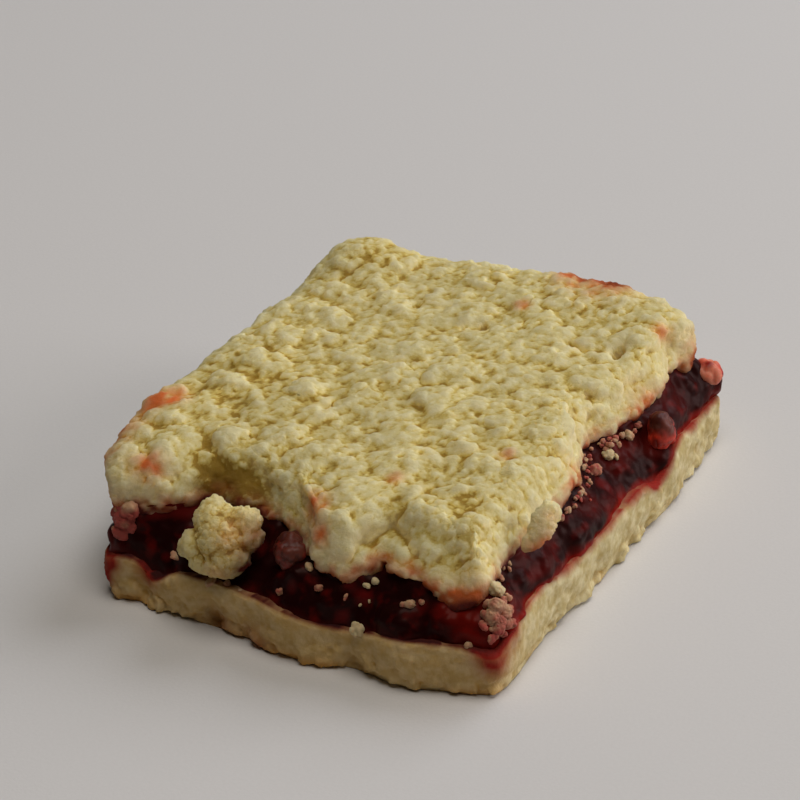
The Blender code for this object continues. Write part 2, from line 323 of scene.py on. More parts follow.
def raised(points, quads, lift):
    """The points moved out along the surface's normals, each by its own lift."""
    return points + point_normals(points, quads) * np.reshape(lift, (-1, 1))


def splashes(points, spots):
    """The sum of soft round spots, each (x, y, z, reach, strength), held between 0 and 1."""
    total = np.zeros(len(points))
    for x, y, z, reach, strength in spots:
        square = ((points - np.array([x, y, z])) ** 2).sum(axis=1)
        total += strength * np.exp(-square / reach**2)
    return np.clip(total, 0, 1)


def point_normals(points, quads):
    """Outward directions: the crossed diagonals of the quads round each point, added up."""
    corners = points[quads]
    crossed = np.cross(corners[:, 2] - corners[:, 0], corners[:, 3] - corners[:, 1])
    total = np.zeros_like(points)
    for axis in range(3):
        for k in range(4):
            total[:, axis] += np.bincount(quads[:, k], crossed[:, axis], len(points))
    return total / np.maximum(np.linalg.norm(total, axis=1, keepdims=True), 1e-12)


def passes(reach, spacing):
    """How many times to smooth a surface, with points spacing apart, so that bumps narrower than reach go."""
    return round(2 * (reach / spacing) ** 2)


def smoothed(points, quads, times):
    """The points after each was moved, several times, to the middle of its neighbours along the quads."""
    ends = np.vstack([quads[:, [k, (k + 1) % 4]] for k in range(4)])
    ends = np.vstack([ends, ends[:, ::-1]])
    share = np.bincount(ends[:, 0], minlength=len(points))[:, None].clip(1)
    for _ in range(times):
        moved = [np.bincount(ends[:, 0], points[ends[:, 1], axis], len(points)) for axis in range(3)]
        points = np.column_stack(moved) / share
    return points


def hollowness(points, quads, times, deep=1.1):
    """From 0 on a crest to 1 in a crease: how far each point lies below the surface smoothed out."""
    low = smoothed(points, quads, times)
    return np.clip(0.5 + ((low - points) * point_normals(low, quads)).sum(axis=1) / deep, 0, 1)


# %% [markdown]
# Round pieces start from a ball. A globe's grid crowds at its poles, so the six sides of a cube are used:
# each side is a square grid, and its points are pulled in to radius 1. A subdivided cube with a cast modifier
# would do, but lumps and juice are worked out for the points before there is a mesh.

# %% Ball of squares
def square_ball(steps):
    """The points and quads of a ball, with steps by steps quads on each side of the cube it comes from."""
    a, b = np.meshgrid(np.arange(steps + 1), np.arange(steps + 1), indexing="ij")
    places, quads = [], []
    for axis, side in itertools.product(range(3), (0, steps)):
        place = np.zeros((steps + 1, steps + 1, 3), int)
        place[..., axis] = side
        place[..., (axis + 1) % 3] = a
        place[..., (axis + 2) % 3] = b
        number = len(places) * a.size + np.arange(a.size).reshape(a.shape)
        square = grid_quads(number)
        quads.append(square if side else square[:, ::-1])
        places.append(place.reshape(-1, 3))
    corners, index = np.unique(np.vstack(places), axis=0, return_inverse=True)
    spread = np.tan((corners / steps - 0.5) * math.pi / 2)
    return spread / np.linalg.norm(spread, axis=1, keepdims=True), index.reshape(-1)[np.vstack(quads)]


# %% [markdown]
# A mesh is written once from whole arrays. The points are turned to metres here, and nowhere else. What a
# finish must know of a place, such as how stained it is, goes with the mesh as one number for each point.

# %% Write a mesh
def write_mesh(name, points, faces, material, values=None):
    """One object at the origin, with its points in metres and one number per point for each named value."""
    mesh = bpy.data.meshes.new(name)
    mesh.from_pydata(points * MM, [], [face for group in faces for face in np.asarray(group).tolist()])
    for key, numbers in (values or {}).items():
        layer = mesh.attributes.new(key, "FLOAT", "POINT")
        layer.data.foreach_set("value", np.asarray(numbers, np.float32))
    mesh.materials.append(material)
    mesh.shade_smooth()
    made = bpy.data.objects.new(name, mesh)
    bpy.context.scene.collection.objects.link(made)
    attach(made, "root")
    triangles = sum(len(face.vertices) - 2 for face in mesh.polygons)
    print(name, triangles, "triangles")
    return made


# %% [markdown]
# The slice is seen from above its front right corner, through a long lens that is held a few degrees off
# level. The place comes from a few angles and a distance, because those can be judged in a picture.

# %% Camera
CAMERA_DISTANCE = 522.0
CAMERA_AZIMUTH = 29.8
CAMERA_ELEVATION = 30.9
CAMERA_ROLL = -3.4
CAMERA_SHIFT = (-2.4, 7.4)
CAMERA_AIM = (0.0, -1.3, 15.0)
CAMERA_LENS = 138.0


def camera_matrix():
    """The camera's place and turn from its azimuth, elevation, roll and distance."""
    a, e, r = (math.radians(angle) for angle in (CAMERA_AZIMUTH, CAMERA_ELEVATION, CAMERA_ROLL))
    back = np.array([math.sin(a) * math.cos(e), -math.cos(a) * math.cos(e), math.sin(e)])
    level = np.array([math.cos(a), math.sin(a), 0.0])
    above = np.cross(back, level)
    right = level * math.cos(r) + above * math.sin(r)
    up = above * math.cos(r) - level * math.sin(r)
    place = np.array(CAMERA_AIM) + back * CAMERA_DISTANCE + right * CAMERA_SHIFT[0] + up * CAMERA_SHIFT[1]
    matrix = np.eye(4)
    matrix[:3, :3] = np.column_stack([right, up, back])
    matrix[:3, 3] = place * MM
    return Matrix(matrix.tolist())


camera = bpy.data.objects.new("camera", bpy.data.cameras.new("camera"))
bpy.context.scene.collection.objects.link(camera)
camera.data.lens = CAMERA_LENS
camera.data.sensor_width = 36.0
camera.data.clip_start = 0.01
camera.matrix_world = camera_matrix()
bpy.context.scene.camera = camera

# %% [markdown]
# Daylight comes in wide and soft: low from the right, higher from behind, and from above. A picture of a sky
# could light it, but three round soft lights are plain and easy to move. Each is (azimuth from +X, elevation,
# watts, colour) and is aimed at the slice. The room itself is nearly dark, which leaves the front cut in shade.

# %% Light
LIGHT_DISTANCE = 1.5
LIGHT_WIDTH = 0.95
SOFT_LIGHTS = (
    (30.0, 18.0, 10.2, (1.0, 0.96, 0.98)),
    (72.0, 42.0, 8.0, (0.95, 1.0, 1.1)),
    (-20.0, 80.0, 10.8, (1.0, 0.95, 0.88)),
)
ROOM_BRIGHTNESS = 0.009

for number, (azimuth, elevation, watts, tint) in enumerate(SOFT_LIGHTS):
    name = f"soft_light_{number}"
    light = bpy.data.objects.new(name, bpy.data.lights.new(name, "AREA"))
    light.data.shape = "DISK"
    light.data.size = LIGHT_WIDTH
    light.data.energy = watts
    light.data.color = tint
    a, e = math.radians(azimuth), math.radians(elevation)
    towards = Vector((math.cos(a) * math.cos(e), math.sin(a) * math.cos(e), math.sin(e)))
    light.location = towards * LIGHT_DISTANCE
    light.rotation_euler = towards.to_track_quat("Z", "Y").to_euler()
    bpy.context.scene.collection.objects.link(light)

world = bpy.data.worlds.new("room")
world.use_nodes = True
world.node_tree.nodes["Background"].inputs["Color"].default_value = (1, 1, 1, 1)
world.node_tree.nodes["Background"].inputs["Strength"].default_value = ROOM_BRIGHTNESS
bpy.context.scene.world = world
bpy.context.scene.view_settings.view_transform = "Standard"


# %% [markdown]
# Colours are picked as they look on a screen, so each is turned to linear light before it goes in a node.
# A finish is built node by node, and every method gives back the output that the next one reads.

# %% Colour helpers
def linear(colour):
    """A screen colour, 0 to 255 each, as linear light with alpha 1."""
    shares = [c / 255 for c in colour]
    return (*[c / 12.92 if c <= 0.04045 else ((c + 0.055) / 1.055) ** 2.4 for c in shares], 1.0)


class Finish:
    """A node material that is built step by step. Each method adds one node and returns its output."""

    def __init__(self, name, roughness=0.8):
        self.material = bpy.data.materials.new(name)
        self.material.use_nodes = True
        self.tree = self.material.node_tree
        self.shader = self.tree.nodes["Principled BSDF"]
        self.set("Roughness", roughness)
        self.place = self.add("ShaderNodeTexCoord").outputs["Object"]

    def add(self, kind, **settings):
        node = self.tree.nodes.new(kind)
        for key, value in settings.items():
            setattr(node, key, value)
        return node

    def link(self, source, socket):
        self.tree.links.new(source, socket)

    def noise(self, size, detail=2.0, rough=0.5):
        """Noise whose features are about size millimetres."""
        node = self.add("ShaderNodeTexNoise")
        node.inputs["Scale"].default_value = 1 / (size * MM)
        node.inputs["Detail"].default_value = detail
        node.inputs["Roughness"].default_value = rough
        self.link(self.place, node.inputs["Vector"])
        return node.outputs["Fac"]

    def value(self, name):
        """A number that the mesh holds for each point."""
        return self.add("ShaderNodeAttribute", attribute_name=name).outputs["Fac"]

    def ramp(self, source, low, high, start=0.0, end=1.0):
        """source stretched from low..high to start..end, and held there."""
        node = self.add("ShaderNodeMapRange", interpolation_type="SMOOTHSTEP")
        for key, number in (("From Min", low), ("From Max", high), ("To Min", start), ("To Max", end)):
            node.inputs[key].default_value = number
        self.link(source, node.inputs["Value"])
        return node.outputs["Result"]

    def maths(self, operation, *sources):
        node = self.add("ShaderNodeMath", operation=operation)
        for socket, source in zip(node.inputs, sources):
            if isinstance(source, (int, float)):
                socket.default_value = source
            else:
                self.link(source, socket)
        return node.outputs["Value"]

    def mix(self, factor, a, b):
        """Colour a where factor is 0 and b where it is 1. Each is a screen colour or an output."""
        node = self.add("ShaderNodeMix", data_type="RGBA")
        self.link(factor, node.inputs["Factor"])
        for socket, source in ((node.inputs[6], a), (node.inputs[7], b)):
            if isinstance(source, tuple):
                socket.default_value = linear(source)
            else:
                self.link(source, socket)
        return node.outputs[2]

    def tones(self, source, stops):
        """The colour for each value of source, blended between stops of (value, screen colour)."""
        node = self.add("ShaderNodeValToRGB")
        ramp = node.color_ramp
        ramp.interpolation = "EASE"
        while len(ramp.elements) < len(stops):
            ramp.elements.new(1.0)
        for element, (place, colour) in zip(ramp.elements, stops):
            element.position = place
            element.color = linear(colour)
        self.link(source, node.inputs["Fac"])
        return node.outputs["Color"]

    def colour(self, source):
        self.link(source, self.shader.inputs["Base Color"])

    def set(self, socket, level):
        """Sets one of the shader's own sockets."""
        self.shader.inputs[socket].default_value = level

    def let_light_in(self, weight, shares, depth, method="RANDOM_WALK"):
        """Lets light into the stuff: depth in millimetres, times a share for each of red, green and blue."""
        self.shader.subsurface_method = method
        self.set("Subsurface Weight", weight)
        self.set("Subsurface Radius", shares)
        self.set("Subsurface Scale", depth * MM)

    def bump(self, source, height, strength=1.0):
        """Fine relief: source times height, in millimetres."""
        node = self.add("ShaderNodeBump")
        node.inputs["Strength"].default_value = strength
        node.inputs["Distance"].default_value = height * MM
        self.link(source, node.inputs["Height"])
        self.link(node.outputs["Normal"], self.shader.inputs["Normal"])


# %% [markdown]
# The slice stands on plain pale cloth, which is a large flat sheet with a fine weave of noise.

# %% Floor
FLOOR_SIZE = 6.0


def cloth_finish():
    finish = Finish("pale_cloth", 0.95)
    finish.colour(finish.mix(finish.noise(0.6, 2.0), (204, 201, 198), (210, 207, 204)))
    finish.bump(finish.noise(0.5, 2.0), 0.05, 0.4)
    return finish.material


half = FLOOR_SIZE / 2
floor_corners = [(-half, -half, 0), (half, -half, 0), (half, half, 0), (-half, half, 0)]
floor_mesh = bpy.data.meshes.new("floor")
floor_mesh.from_pydata(floor_corners, [], [(0, 1, 2, 3)])
floor_mesh.materials.append(cloth_finish())
floor = bpy.data.objects.new("floor", floor_mesh)
bpy.context.scene.collection.objects.link(floor)


# %% [markdown]
# The base is shortcrust: a close, pale crumb, a little golden where it lay on the tin. Its shaded front cut is
# painted golden and dark along the jam, and its hollows darker: painted shade. Juice has run into it at a few
# places. A painted picture could say where, but numbers held by the mesh's points need no picture: how hollow,
# flaky, golden, stained and soaked each point is. The finish mixes the colours by those.

# %% Base: finish
def crust_finish():
    finish = Finish("shortcrust", 0.82)
    patchy = finish.ramp(finish.noise(2.2, 2.0, 0.6), 0.3, 0.7)
    pale = finish.mix(patchy, (186, 165, 110), (214, 200, 156))
    # Painted shade: the crust's hollows are painted a darker gold.
    hollow = finish.mix(finish.ramp(finish.value("hollow"), 0.5, 0.9), pale, (166, 136, 72))
    flaky = finish.mix(finish.value("flaky"), hollow, (226, 212, 164))
    # Golden where the foot lay on the tin, and over the front cut as painted shade.
    golden_and_shaded = finish.mix(finish.value("golden_and_shaded"), flaky, (200, 150, 80))
    red = finish.mix(finish.value("stain"), golden_and_shaded, (140, 26, 11))
    # Near black where juice soaked the top edge. On the front cut this is partly painted shade.
    finish.colour(finish.mix(finish.value("soaked_and_shaded"), red, (52, 9, 6)))
    finish.set("Specular IOR Level", 0.2)
    finish.let_light_in(0.6, (1.0, 0.7, 0.35), 1.5, "BURLEY")
    finish.bump(finish.noise(0.8, 3.0, 0.7), 0.22, 0.9)
    return finish.material


CRUST = crust_finish()

# %% [markdown]
# The knife left the base with a rounded shoulder and a torn, crumbly foot. Its wall could be an extruded
# outline with a bevel. Here it is a profile carried round the outline, so that its height can follow the wavy
# top. Chips are taken off first, then lumps of three sizes are raised on it, most of all near the bottom.

# %% Base: surface
CHUNKY = 1.2
BASE_WALL = np.linspace(0, 1, 26)
BASE_SINK = 0.2
BASE_ROUNDED = 0.12
BASE_FOOT_IN = 0.9
BASE_SHOULDER_IN = 0.6
BASE_SWELL = 0.3

# Each size of lump is (cell, seed, height in cells), and each spot (x, y, z, reach, strength).
BASE_LUMPS = (
    (4.0, 3, 0.16),
    (1.8, 20, 0.16),
    (0.9, 40, 0.18),
)
BASE_ROUGH = 0.45
BASE_ROUGH_LOW = 2.6
BASE_ROUGH_PATCHES = 0.8
BASE_LOW_PART = 4.0
PIT_CELL = 3.0
PIT_DEPTH = 0.9
CHIP_DEPTH = 1.6
CHIP_FLATTENED = np.array([1, 1, 0.4])
BLEED_FRONT = 0.7
BLEED_RIGHT = 0.9
BLEED_FADE = 1.3
SOAKED_FADE = 1.5
GOLDEN_FOOT = 2.6
# Painted shade: golden laid over the whole front cut, which lies in shade.
FRONT_PAINTED_SHADE = 0.45
JUICE_ON_BASE = (
    (-36.4, -43.8, 7.6, 2.2, 1.2),
    (-37.6, -43.0, 4.2, 2.4, 1.3),
    (-34.6, -44.0, 7.4, 1.8, 0.5),
    (-28.2, -43.2, 6.6, 2.2, 1.1),
    (35.6, -42.4, 7.6, 3.2, 1.3),
    (37.0, -38.0, 9.0, 2.6, 0.6),
    (38.5, 13.4, 8.6, 1.5, 1.2),
    (-6.0, -46.0, 1.0, 3.0, 0.5),
    (-14.0, -44.5, 0.8, 3.0, 0.45),
)
BASE_CHIPS = (
    (-30.0, -45.0, 0.4, 2.2, 1.0),
    (-15.5, -45.0, 0.4, 2.0, 1.0),
    (-22.0, -45.5, 0.2, 1.6, 0.6),
    (10.4, -47.0, 0.4, 1.8, 0.9),
    (34.3, -46.5, 0.2, 1.6, 0.8),
    (37.5, -33.0, 0.2, 2.0, 0.6),
    (37.5, -8.0, 0.3, 2.0, 0.7),
    (38.5, 17.0, 0.2, 2.4, 0.6),
)


def base_profile(share):
    """Outward offset and height up the wall, for a share from 0 at the floor to 1 at the filling."""
    foot = BASE_FOOT_IN * np.clip(1 - share / BASE_ROUNDED, 0, 1) ** 2
    shoulder = BASE_SHOULDER_IN * np.clip(1 - (1 - share) / BASE_ROUNDED, 0, 1) ** 2
    swell = BASE_SWELL * math.sin(math.pi * share)
    return EDGE - BASE_SINK - foot - shoulder + swell, BASE_LINE * share


def base_values(points, walls, low_part):
    """What the finish reads: juice bleeds down from the top, the foot is golden and flaky in patches, and the
    front cut has painted shade.
    """
    rings = len(points) // COUNT
    height = points[:, 2]
    ragged = noise(points, 3.0, 9)
    right_cut = every_ring(RIGHT_CUT, rings)
    front_cut = every_ring(np.clip(-OUT[:, 1], 0, 1), rings)
    golden_foot = np.clip(1 - height / GOLDEN_FOOT, 0, 1) * patches(points, 6.0, 5, slope=2.4, cut=0.96)
    flaky_foot = np.clip(low_part * 1.2 - 0.2, 0, 1) * patches(points, 2.4, 11, slope=3, cut=1.2)
    reach = (BLEED_FRONT + BLEED_RIGHT * right_cut) * (0.5 + ragged)
    bleed = np.clip(1 - (every_ring(BASE_LINE, rings) - height) / reach, 0, 1) ** BLEED_FADE
    return {
        "hollow": hollowness(points, walls, passes(0.8, SPACING)),
        "golden_and_shaded": 0.7 * golden_foot + FRONT_PAINTED_SHADE * front_cut,
        "flaky": 0.8 * flaky_foot,
        "stain": np.clip(bleed + splashes(points, JUICE_ON_BASE) * (0.5 + ragged), 0, 1),
        # Near black under the jam and kept off the right cut: soaking, and on the shaded front partly painted
        # shade.
        "soaked_and_shaded": bleed**SOAKED_FADE * (1 - 0.9 * right_cut),
    }


def make_base():
    """The profile carried round the outline, chipped, then raised by lumps and sunk at pits."""
    rings = [ring(*base_profile(share)) for share in BASE_WALL]
    rings.append(inner_ring(rings[-1], BASE_INNER, BASE_MIDDLE))
    points = np.vstack(rings)
    walls = bands(0, len(rings))
    movable = np.zeros(len(points))
    movable[COUNT : COUNT * len(BASE_WALL)] = 1
    movable[COUNT : 2 * COUNT] = 0.5
    chipped = CHIP_DEPTH * splashes(points * CHIP_FLATTENED, BASE_CHIPS)
    points[:, :2] -= np.tile(OUT, (len(rings), 1)) * (chipped * movable)[:, None]
    low_part = np.clip(1 - points[:, 2] / BASE_LOW_PART, 0, 1)
    rough = BASE_ROUGH + BASE_ROUGH_LOW * low_part + BASE_ROUGH_PATCHES * noise(points, 6.0, 2)
    for cell, seed, height in BASE_LUMPS:
        crinkled = stirred(points, 0.5 * cell, 0.5 * cell, seed + 7)
        lift = (lumps(crinkled, cell, seed, 0.35, 0.95, 0.5, 6, chunky=CHUNKY) - 0.3) * cell * height
        points = raised(points, walls, lift * movable * rough)
    pits = PIT_DEPTH * lumps(points, PIT_CELL, 52, 0.12, 0.3, power=0.8, share=0.5)
    points = raised(points, walls, -pits * movable)
    points[:, 2] = np.where(movable > 0, points[:, 2].clip(0.02), points[:, 2])
    points[:COUNT, 2] = 0
    values = base_values(points, walls, low_part)
    made = write_mesh("base_crust_fine", points, closed_faces(len(rings)), CRUST, values)
    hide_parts("base_crust")


make_base()


# %% [markdown]
# The filling is thick cherry jam: nearly black in the mass, red where it is thin, and wet. It could be made
# see-through, with its colour coming from its depth, but that takes long to render and needs true depths.
# Instead the mesh holds how thin and how pulpy each place is, and a low warm shine keeps the dark parts dark.
# Its red is painted far stronger on the lit right cut than on the shaded front: that part is painted light.

# %% Filling: finish
def jam_finish():
    finish = Finish("cherry_jam", 0.42)
    deep = finish.mix(finish.ramp(finish.noise(3.0, 2.0), 0.5, 0.8), (29, 4, 4), (80, 11, 8))
    # Red where the jam is thin, painted far stronger on the lit right cut: partly painted light.
    thin_and_painted_light = finish.mix(finish.value("thin_and_painted_light"), deep, (126, 18, 9))
    pulp = finish.mix(finish.value("pulp"), thin_and_painted_light, (104, 18, 16))
    finish.colour(pulp)
    finish.set("Specular IOR Level", 0.08)
    finish.set("Specular Tint", (1.0, 0.5, 0.4, 1.0))
    finish.set("Coat Weight", 0.02)
    finish.set("Coat Roughness", 0.15)
    finish.bump(finish.noise(1.4, 2.0), 0.12, 0.5)
    return finish.material


JAM = jam_finish()

# %% [markdown]
# The jam shows as a slope, from just inside the base's edge up to the topping's foot. Metaballs would give
# soft fruit too, but wouldn't meet both layers. The slope is a straight profile carried round the outline, and
# soft lumps that run together are raised on it. It is reddest along its lower edge on the right cut, where the
# low lamp falls, so that red is partly painted light.

# %% Filling: surface
JAM_WALL = np.linspace(0, 1, 30)
JAM_LEDGE = 0.7
JAM_DEEP = 0.7
JAM_TUCK = 1.4
JAM_RISE = 0.6
JAM_SWELL = feature_sum(PLAN, 1.0, ((38, 44, 7, 2.4),))
JAM_LUMPS = (
    (5.5, 61, 0.24),
    (2.4, 70, 0.16),
    (1.0, 77, 0.08),
)
# The red edge is weak on the shaded front cut and full on the lit right cut: partly painted light and shade.
RED_EDGE_FRONT = 0.12
THIN_JAM = (
    (28.0, -41.5, 14.5, 2.6, 0.5),
    (32.5, -42.5, 12.0, 3.4, 0.55),
    (35.5, -38.5, 11.5, 3.6, 0.7),
    (34.0, -26.0, 17.0, 2.4, 0.4),
    (-37.0, -43.0, 9.0, 3.0, 0.5),
    (-15.0, -35.0, 15.5, 3.0, 0.4),
    (34.5, 30.0, 13.0, 4.0, 0.15),
)


def jam_profile(share):
    """The wall of jam, from inside the base's edge to inside the topping's foot, swelling a little."""
    swell = JAM_SWELL * np.sin(np.pi * share)
    offset = (1 - share) * (EDGE - JAM_LEDGE) - share * (FOOT + JAM_TUCK) + swell
    return offset, BASE_LINE - JAM_DEEP + (FOOT_LINE + JAM_RISE - BASE_LINE + JAM_DEEP) * share


def make_filling():
    """The slope raised by soft lumps. Gives back the points and normals of the part that shows."""
    low = inner_ring(ring(EDGE - JAM_LEDGE, 0), BASE_INNER, BASE_MIDDLE + SEAM)
    rings = [low] + [ring(*jam_profile(share)) for share in JAM_WALL]
    rings.append(inner_ring(rings[-1], FILLING_INNER, FILLING_MIDDLE))
    points = np.vstack(rings)
    walls = bands(0, len(rings))
    movable = np.zeros(len(points))
    movable[2 * COUNT : COUNT * len(JAM_WALL)] = 1
    for cell, seed, height in JAM_LUMPS:
        crinkled = stirred(points, cell, 0.6 * cell, seed + 3)
        lift = (lumps(crinkled, cell, seed, power=2, join=1) - 0.5) * cell * height
        points = raised(points, walls, lift * movable)
    share = np.concatenate([[0], JAM_WALL, [1]]).repeat(COUNT)
    right_cut = every_ring(RIGHT_CUT, len(rings))
    ragged = noise(points, 2.5, 15)
    lower_edge = np.clip(1 - (share - 0.08) / (0.04 + 0.2 * ragged), 0, 1)
    thin_and_painted_light = (RED_EDGE_FRONT + (1 - RED_EDGE_FRONT) * right_cut) * lower_edge
    thin_and_painted_light += splashes(points, THIN_JAM) * (0.4 + ragged)
    # Red glows painted on the lit right cut: painted light.
    thin_and_painted_light += 0.3 * right_cut * patches(points, 4.5, 90, slope=2, cut=0.8)
    pulp = 0.7 * patches(points, 3.2, 88, slope=4, cut=2.7)
    made = write_mesh("cherry_jam", points, closed_faces(len(rings)), JAM, {"thin_and_painted_light": thin_and_painted_light, "pulp": pulp})
    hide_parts("cherry_filling")
    side = slice(2 * COUNT, COUNT * len(JAM_WALL))
    return points[side], point_normals(points, walls)[side]


JAM_SKIN = make_filling()


# %% [markdown]
# The topping is crumble, matt and pale. Its steep cut sides are painted paler, partly as floury crumb and
# partly as painted light, and its creases are painted a darker gold as painted shade. The mesh holds how hollow
# each place is, and a row of tones turns that into colour. Light goes a little way into crumble, which keeps
# its small shadows soft.

# %% Topping: finish
# Painted shade: crests pale and creases a darker gold, by how hollow each place is.
CRUMBLE_SHADE_TONES = (
    (0.15, (206, 195, 150)),
    (0.50, (198, 183, 126)),
    (0.70, (184, 162, 88)),
    (0.95, (146, 116, 44)),
)


def crumble_finish():
    finish = Finish("crumble", 0.9)
    mottle = finish.maths("MULTIPLY_ADD", finish.noise(2.0, 3.0, 0.6), 1.0, -0.5)
    depth = finish.maths("ADD", finish.value("hollow"), mottle)
    # Creases painted a darker gold as painted shade.
    painted_shade = finish.tones(depth, CRUMBLE_SHADE_TONES)
    # Steep sides painted paler: floury crumb, and partly painted light.
    floury_and_painted_light = finish.mix(finish.value("floury_and_painted_light"), painted_shade, (220, 206, 160))
    red = finish.mix(finish.value("stain"), floury_and_painted_light, (196, 98, 46))
    # Dark where juice soaked, and in the recess painted shade.
    finish.colour(finish.mix(finish.value("soaked_and_shaded"), red, (92, 30, 20)))
    finish.set("Specular IOR Level", 0.25)
    finish.let_light_in(1.0, (1.0, 0.75, 0.35), 3.0, "BURLEY")
    finish.bump(finish.noise(0.9, 4.0, 0.7), 0.42, 1.0)
    return finish.material


CRUMBLE = crumble_finish()

# %% [markdown]
# Juice has boiled up along the rims of the topping and soaked its foot. Painted shade darkens the recess over
# the slipped lump and a dent, and two broad spots darken the left of the top. These are soft spots in space,
# (x, y, z, reach, strength), so that each marks whatever surface passes there.

# %% Topping: spots
JUICE_ON_CRUMBLE = (
    (-30.5, -36.9, 23.4, 2.6, 1.0),
    (-36.5, -41.0, 15.8, 3.2, 0.9),
    (-37.0, -42.0, 12.5, 3.0, 1.0),
    (-40.5, -28.0, 22.5, 3.4, 0.7),
    (-39.5, -35.0, 21.5, 3.0, 0.5),
    (-40.0, -20.5, 23.6, 3.0, 0.8),
    (-37.3, -17.8, 25.0, 2.6, 1.0),
    (0.0, -35.8, 22.9, 2.5, 1.2),
    (3.4, -39.6, 20.5, 1.9, 0.8),
    (32.0, 22.0, 18.0, 3.4, 0.3),
    (33.0, 8.0, 18.0, 3.4, 0.3),
    (33.0, -5.0, 19.0, 3.0, 0.3),
    (14.0, 45.5, 25.5, 5.0, 1.0),
    (8.0, 45.5, 26.0, 3.0, 0.8),
    (38.0, 24.0, 21.0, 4.0, 0.35),
    (37.0, 33.0, 23.0, 3.0, 0.3),
    (36.0, 40.0, 17.5, 4.0, 0.8),
    (4.2, 32.6, 25.8, 1.3, 0.9),
    (9.5, -25.0, 24.5, 1.3, 0.8),
    (30.0, 35.5, 24.2, 1.8, 0.6),
    (23.0, -11.1, 24.2, 1.4, 0.5),
    (9.0, -43.5, 15.0, 3.0, 0.6),
    (24.0, -41.0, 15.5, 3.0, 0.6),
    (30.5, -41.0, 16.2, 3.6, 0.7),
)
# The first three darken the recess over the slipped lump: painted shade, with some soaking. The rest are juice.
SOAKED_AND_SHADED_CRUMBLE = (
    (-22.0, -32.0, 17.5, 2.6, 0.4),
    (-18.0, -31.5, 17.0, 3.0, 0.7),
    (-13.5, -32.0, 16.5, 2.8, 0.7),
    (-31.0, -39.5, 16.5, 2.2, 0.6),
    (30.5, -41.6, 13.8, 2.2, 1.2),
    (31.5, -29.0, 15.8, 2.6, 0.8),
    (33.0, 3.0, 16.0, 3.0, 0.5),
    (15.5, 46.0, 25.5, 3.0, 0.7),
    (10.0, 46.0, 25.8, 2.4, 0.6),
    (36.5, 42.0, 16.0, 3.5, 0.7),
)
# Painted shade: the first three darken the recess over the slipped lump and the fifth a dent. The other two
# darken the left and back left of the top.
PAINTED_SHADE_AND_DARKER_CRUMBLE = (
    (-18.5, -30.7, 20.1, 3.6, 0.55),
    (-14.5, -31.2, 19.3, 3.2, 0.55),
    (-22.4, -30.7, 20.4, 3.4, 0.45),
    (-30.0, -10.0, 24.5, 16.0, 0.12),
    (22.8, -26.8, 24.0, 3.4, 0.35),
    (-30.0, 38.0, 27.0, 7.0, 0.25),
)

# %% [markdown]
# Crumble is flat lumps the size of peas, each made of smaller nodules and grains. Thousands of separate lumps
# could be scattered, but baked crumble is one mass. So the topping is one surface: walls round the slice, and
# an upper face stretched inside their edge. Five sizes of lump are raised one on the other, each along the
# normals of the last, so that the finer ones swell out sideways too. A few pebbles and dents have their place.

# %% Topping: surface
TOPPING_WALL = np.linspace(0, 1, 34)[:-1]
BELLY = BELLY_BACK + (BELLY_FRONT - BELLY_BACK) * FACING
LEAN = feature_sum(PLAN, LEAN_BACK + (LEAN_FRONT - LEAN_BACK) * FACING, LEAN_MORE)
CRUMBLE_LUMPS = (
    (7.0, 101, 0.24, 0.4, 0.95, 0.5, 4),
    (4.2, 120, 0.14, 0.35, 0.95, 0.5, 6),
    (2.6, 130, 0.24, 0.35, 0.95, 0.5, 6),
    (1.3, 140, 0.36, 0.35, 0.95, 0.5, 6),
    (0.75, 150, 0.38, 0.35, 0.95, 0.5, 6),
)
CREASES = ((3.0, 501, 0.12),)
LUMP_SPREAD = (0.3, 1.1)
PIT_IN_CRUMBLE = 4.5
FOOT_SOAK = 3.0
FOOT_RAGGED = 0.2
FOOT_DEEP = 0.4
FOOT_LOW = feature_sum(PLAN, 0, ((31, -44, 5.5, 0.12), (-33, -44, 5, 0.22)))
UNDERSIDE = np.linspace(0, 1, 6)[:-1]
UNDERSIDE_DEEP = 2.0
UNDERSIDE_SAG = 0.6
BELLY_RISE = 1.1
WALL_EASE = 0.9
SUNK_EASE = 0.7
CORNER_ROUNDING = 2.4
ROUNDED_CORNER = ((33.0, -40.0, 20.0, 9.0, 1.6),)
TOPPING_SINK = 1.75
SIDE_SINK = 0.6
TOP_RIM = 20
PEBBLES = (
    (-14.1, -22.0, 3.6, 5.0, 1.0),
    (-30.3, -8.7, 4.7, 4.3, 1.1),
    (-17.4, -6.1, 2.5, 3.0, 0.9),
    (-21.6, -24.5, 2.8, 4.6, 0.9),
    (-9.9, -32.9, 3.4, 4.6, 0.8),
    (-28.1, 37.0, 8.5, 6.0, 1.1),
)
DENTS = (
    (-18.6, 29.2, 1.0, 1.0, 1.1),
    (-14.1, 26.2, 1.4, 1.3, 1.1),
    (-8.3, 28.0, 1.0, 1.3, 1.2),
    (-7.0, 7.4, 1.3, 1.3, 1.4),
    (-2.4, 10.9, 1.0, 1.2, 1.0),
    (0.5, 24.5, 1.0, 1.3, 1.1),
    (-2.4, 23.6, 0.6, 1.2, 0.9),
    (18.1, 25.3, 3.0, 1.4, 1.2),
    (25.3, 27.6, 1.6, 3.4, 1.8),
    (24.1, -12.3, 1.1, 1.2, 0.5),
    (22.8, -26.8, 2.8, 4.6, 0.9),
    (26.8, 13.7, 1.8, 2.0, 1.0),
    (23.0, 12.4, 1.4, 1.4, 0.9),
    (-11.8, -9.4, 1.4, 2.0, 1.6),
    (12.0, -40.0, 2.6, 1.6, 1.1),
)


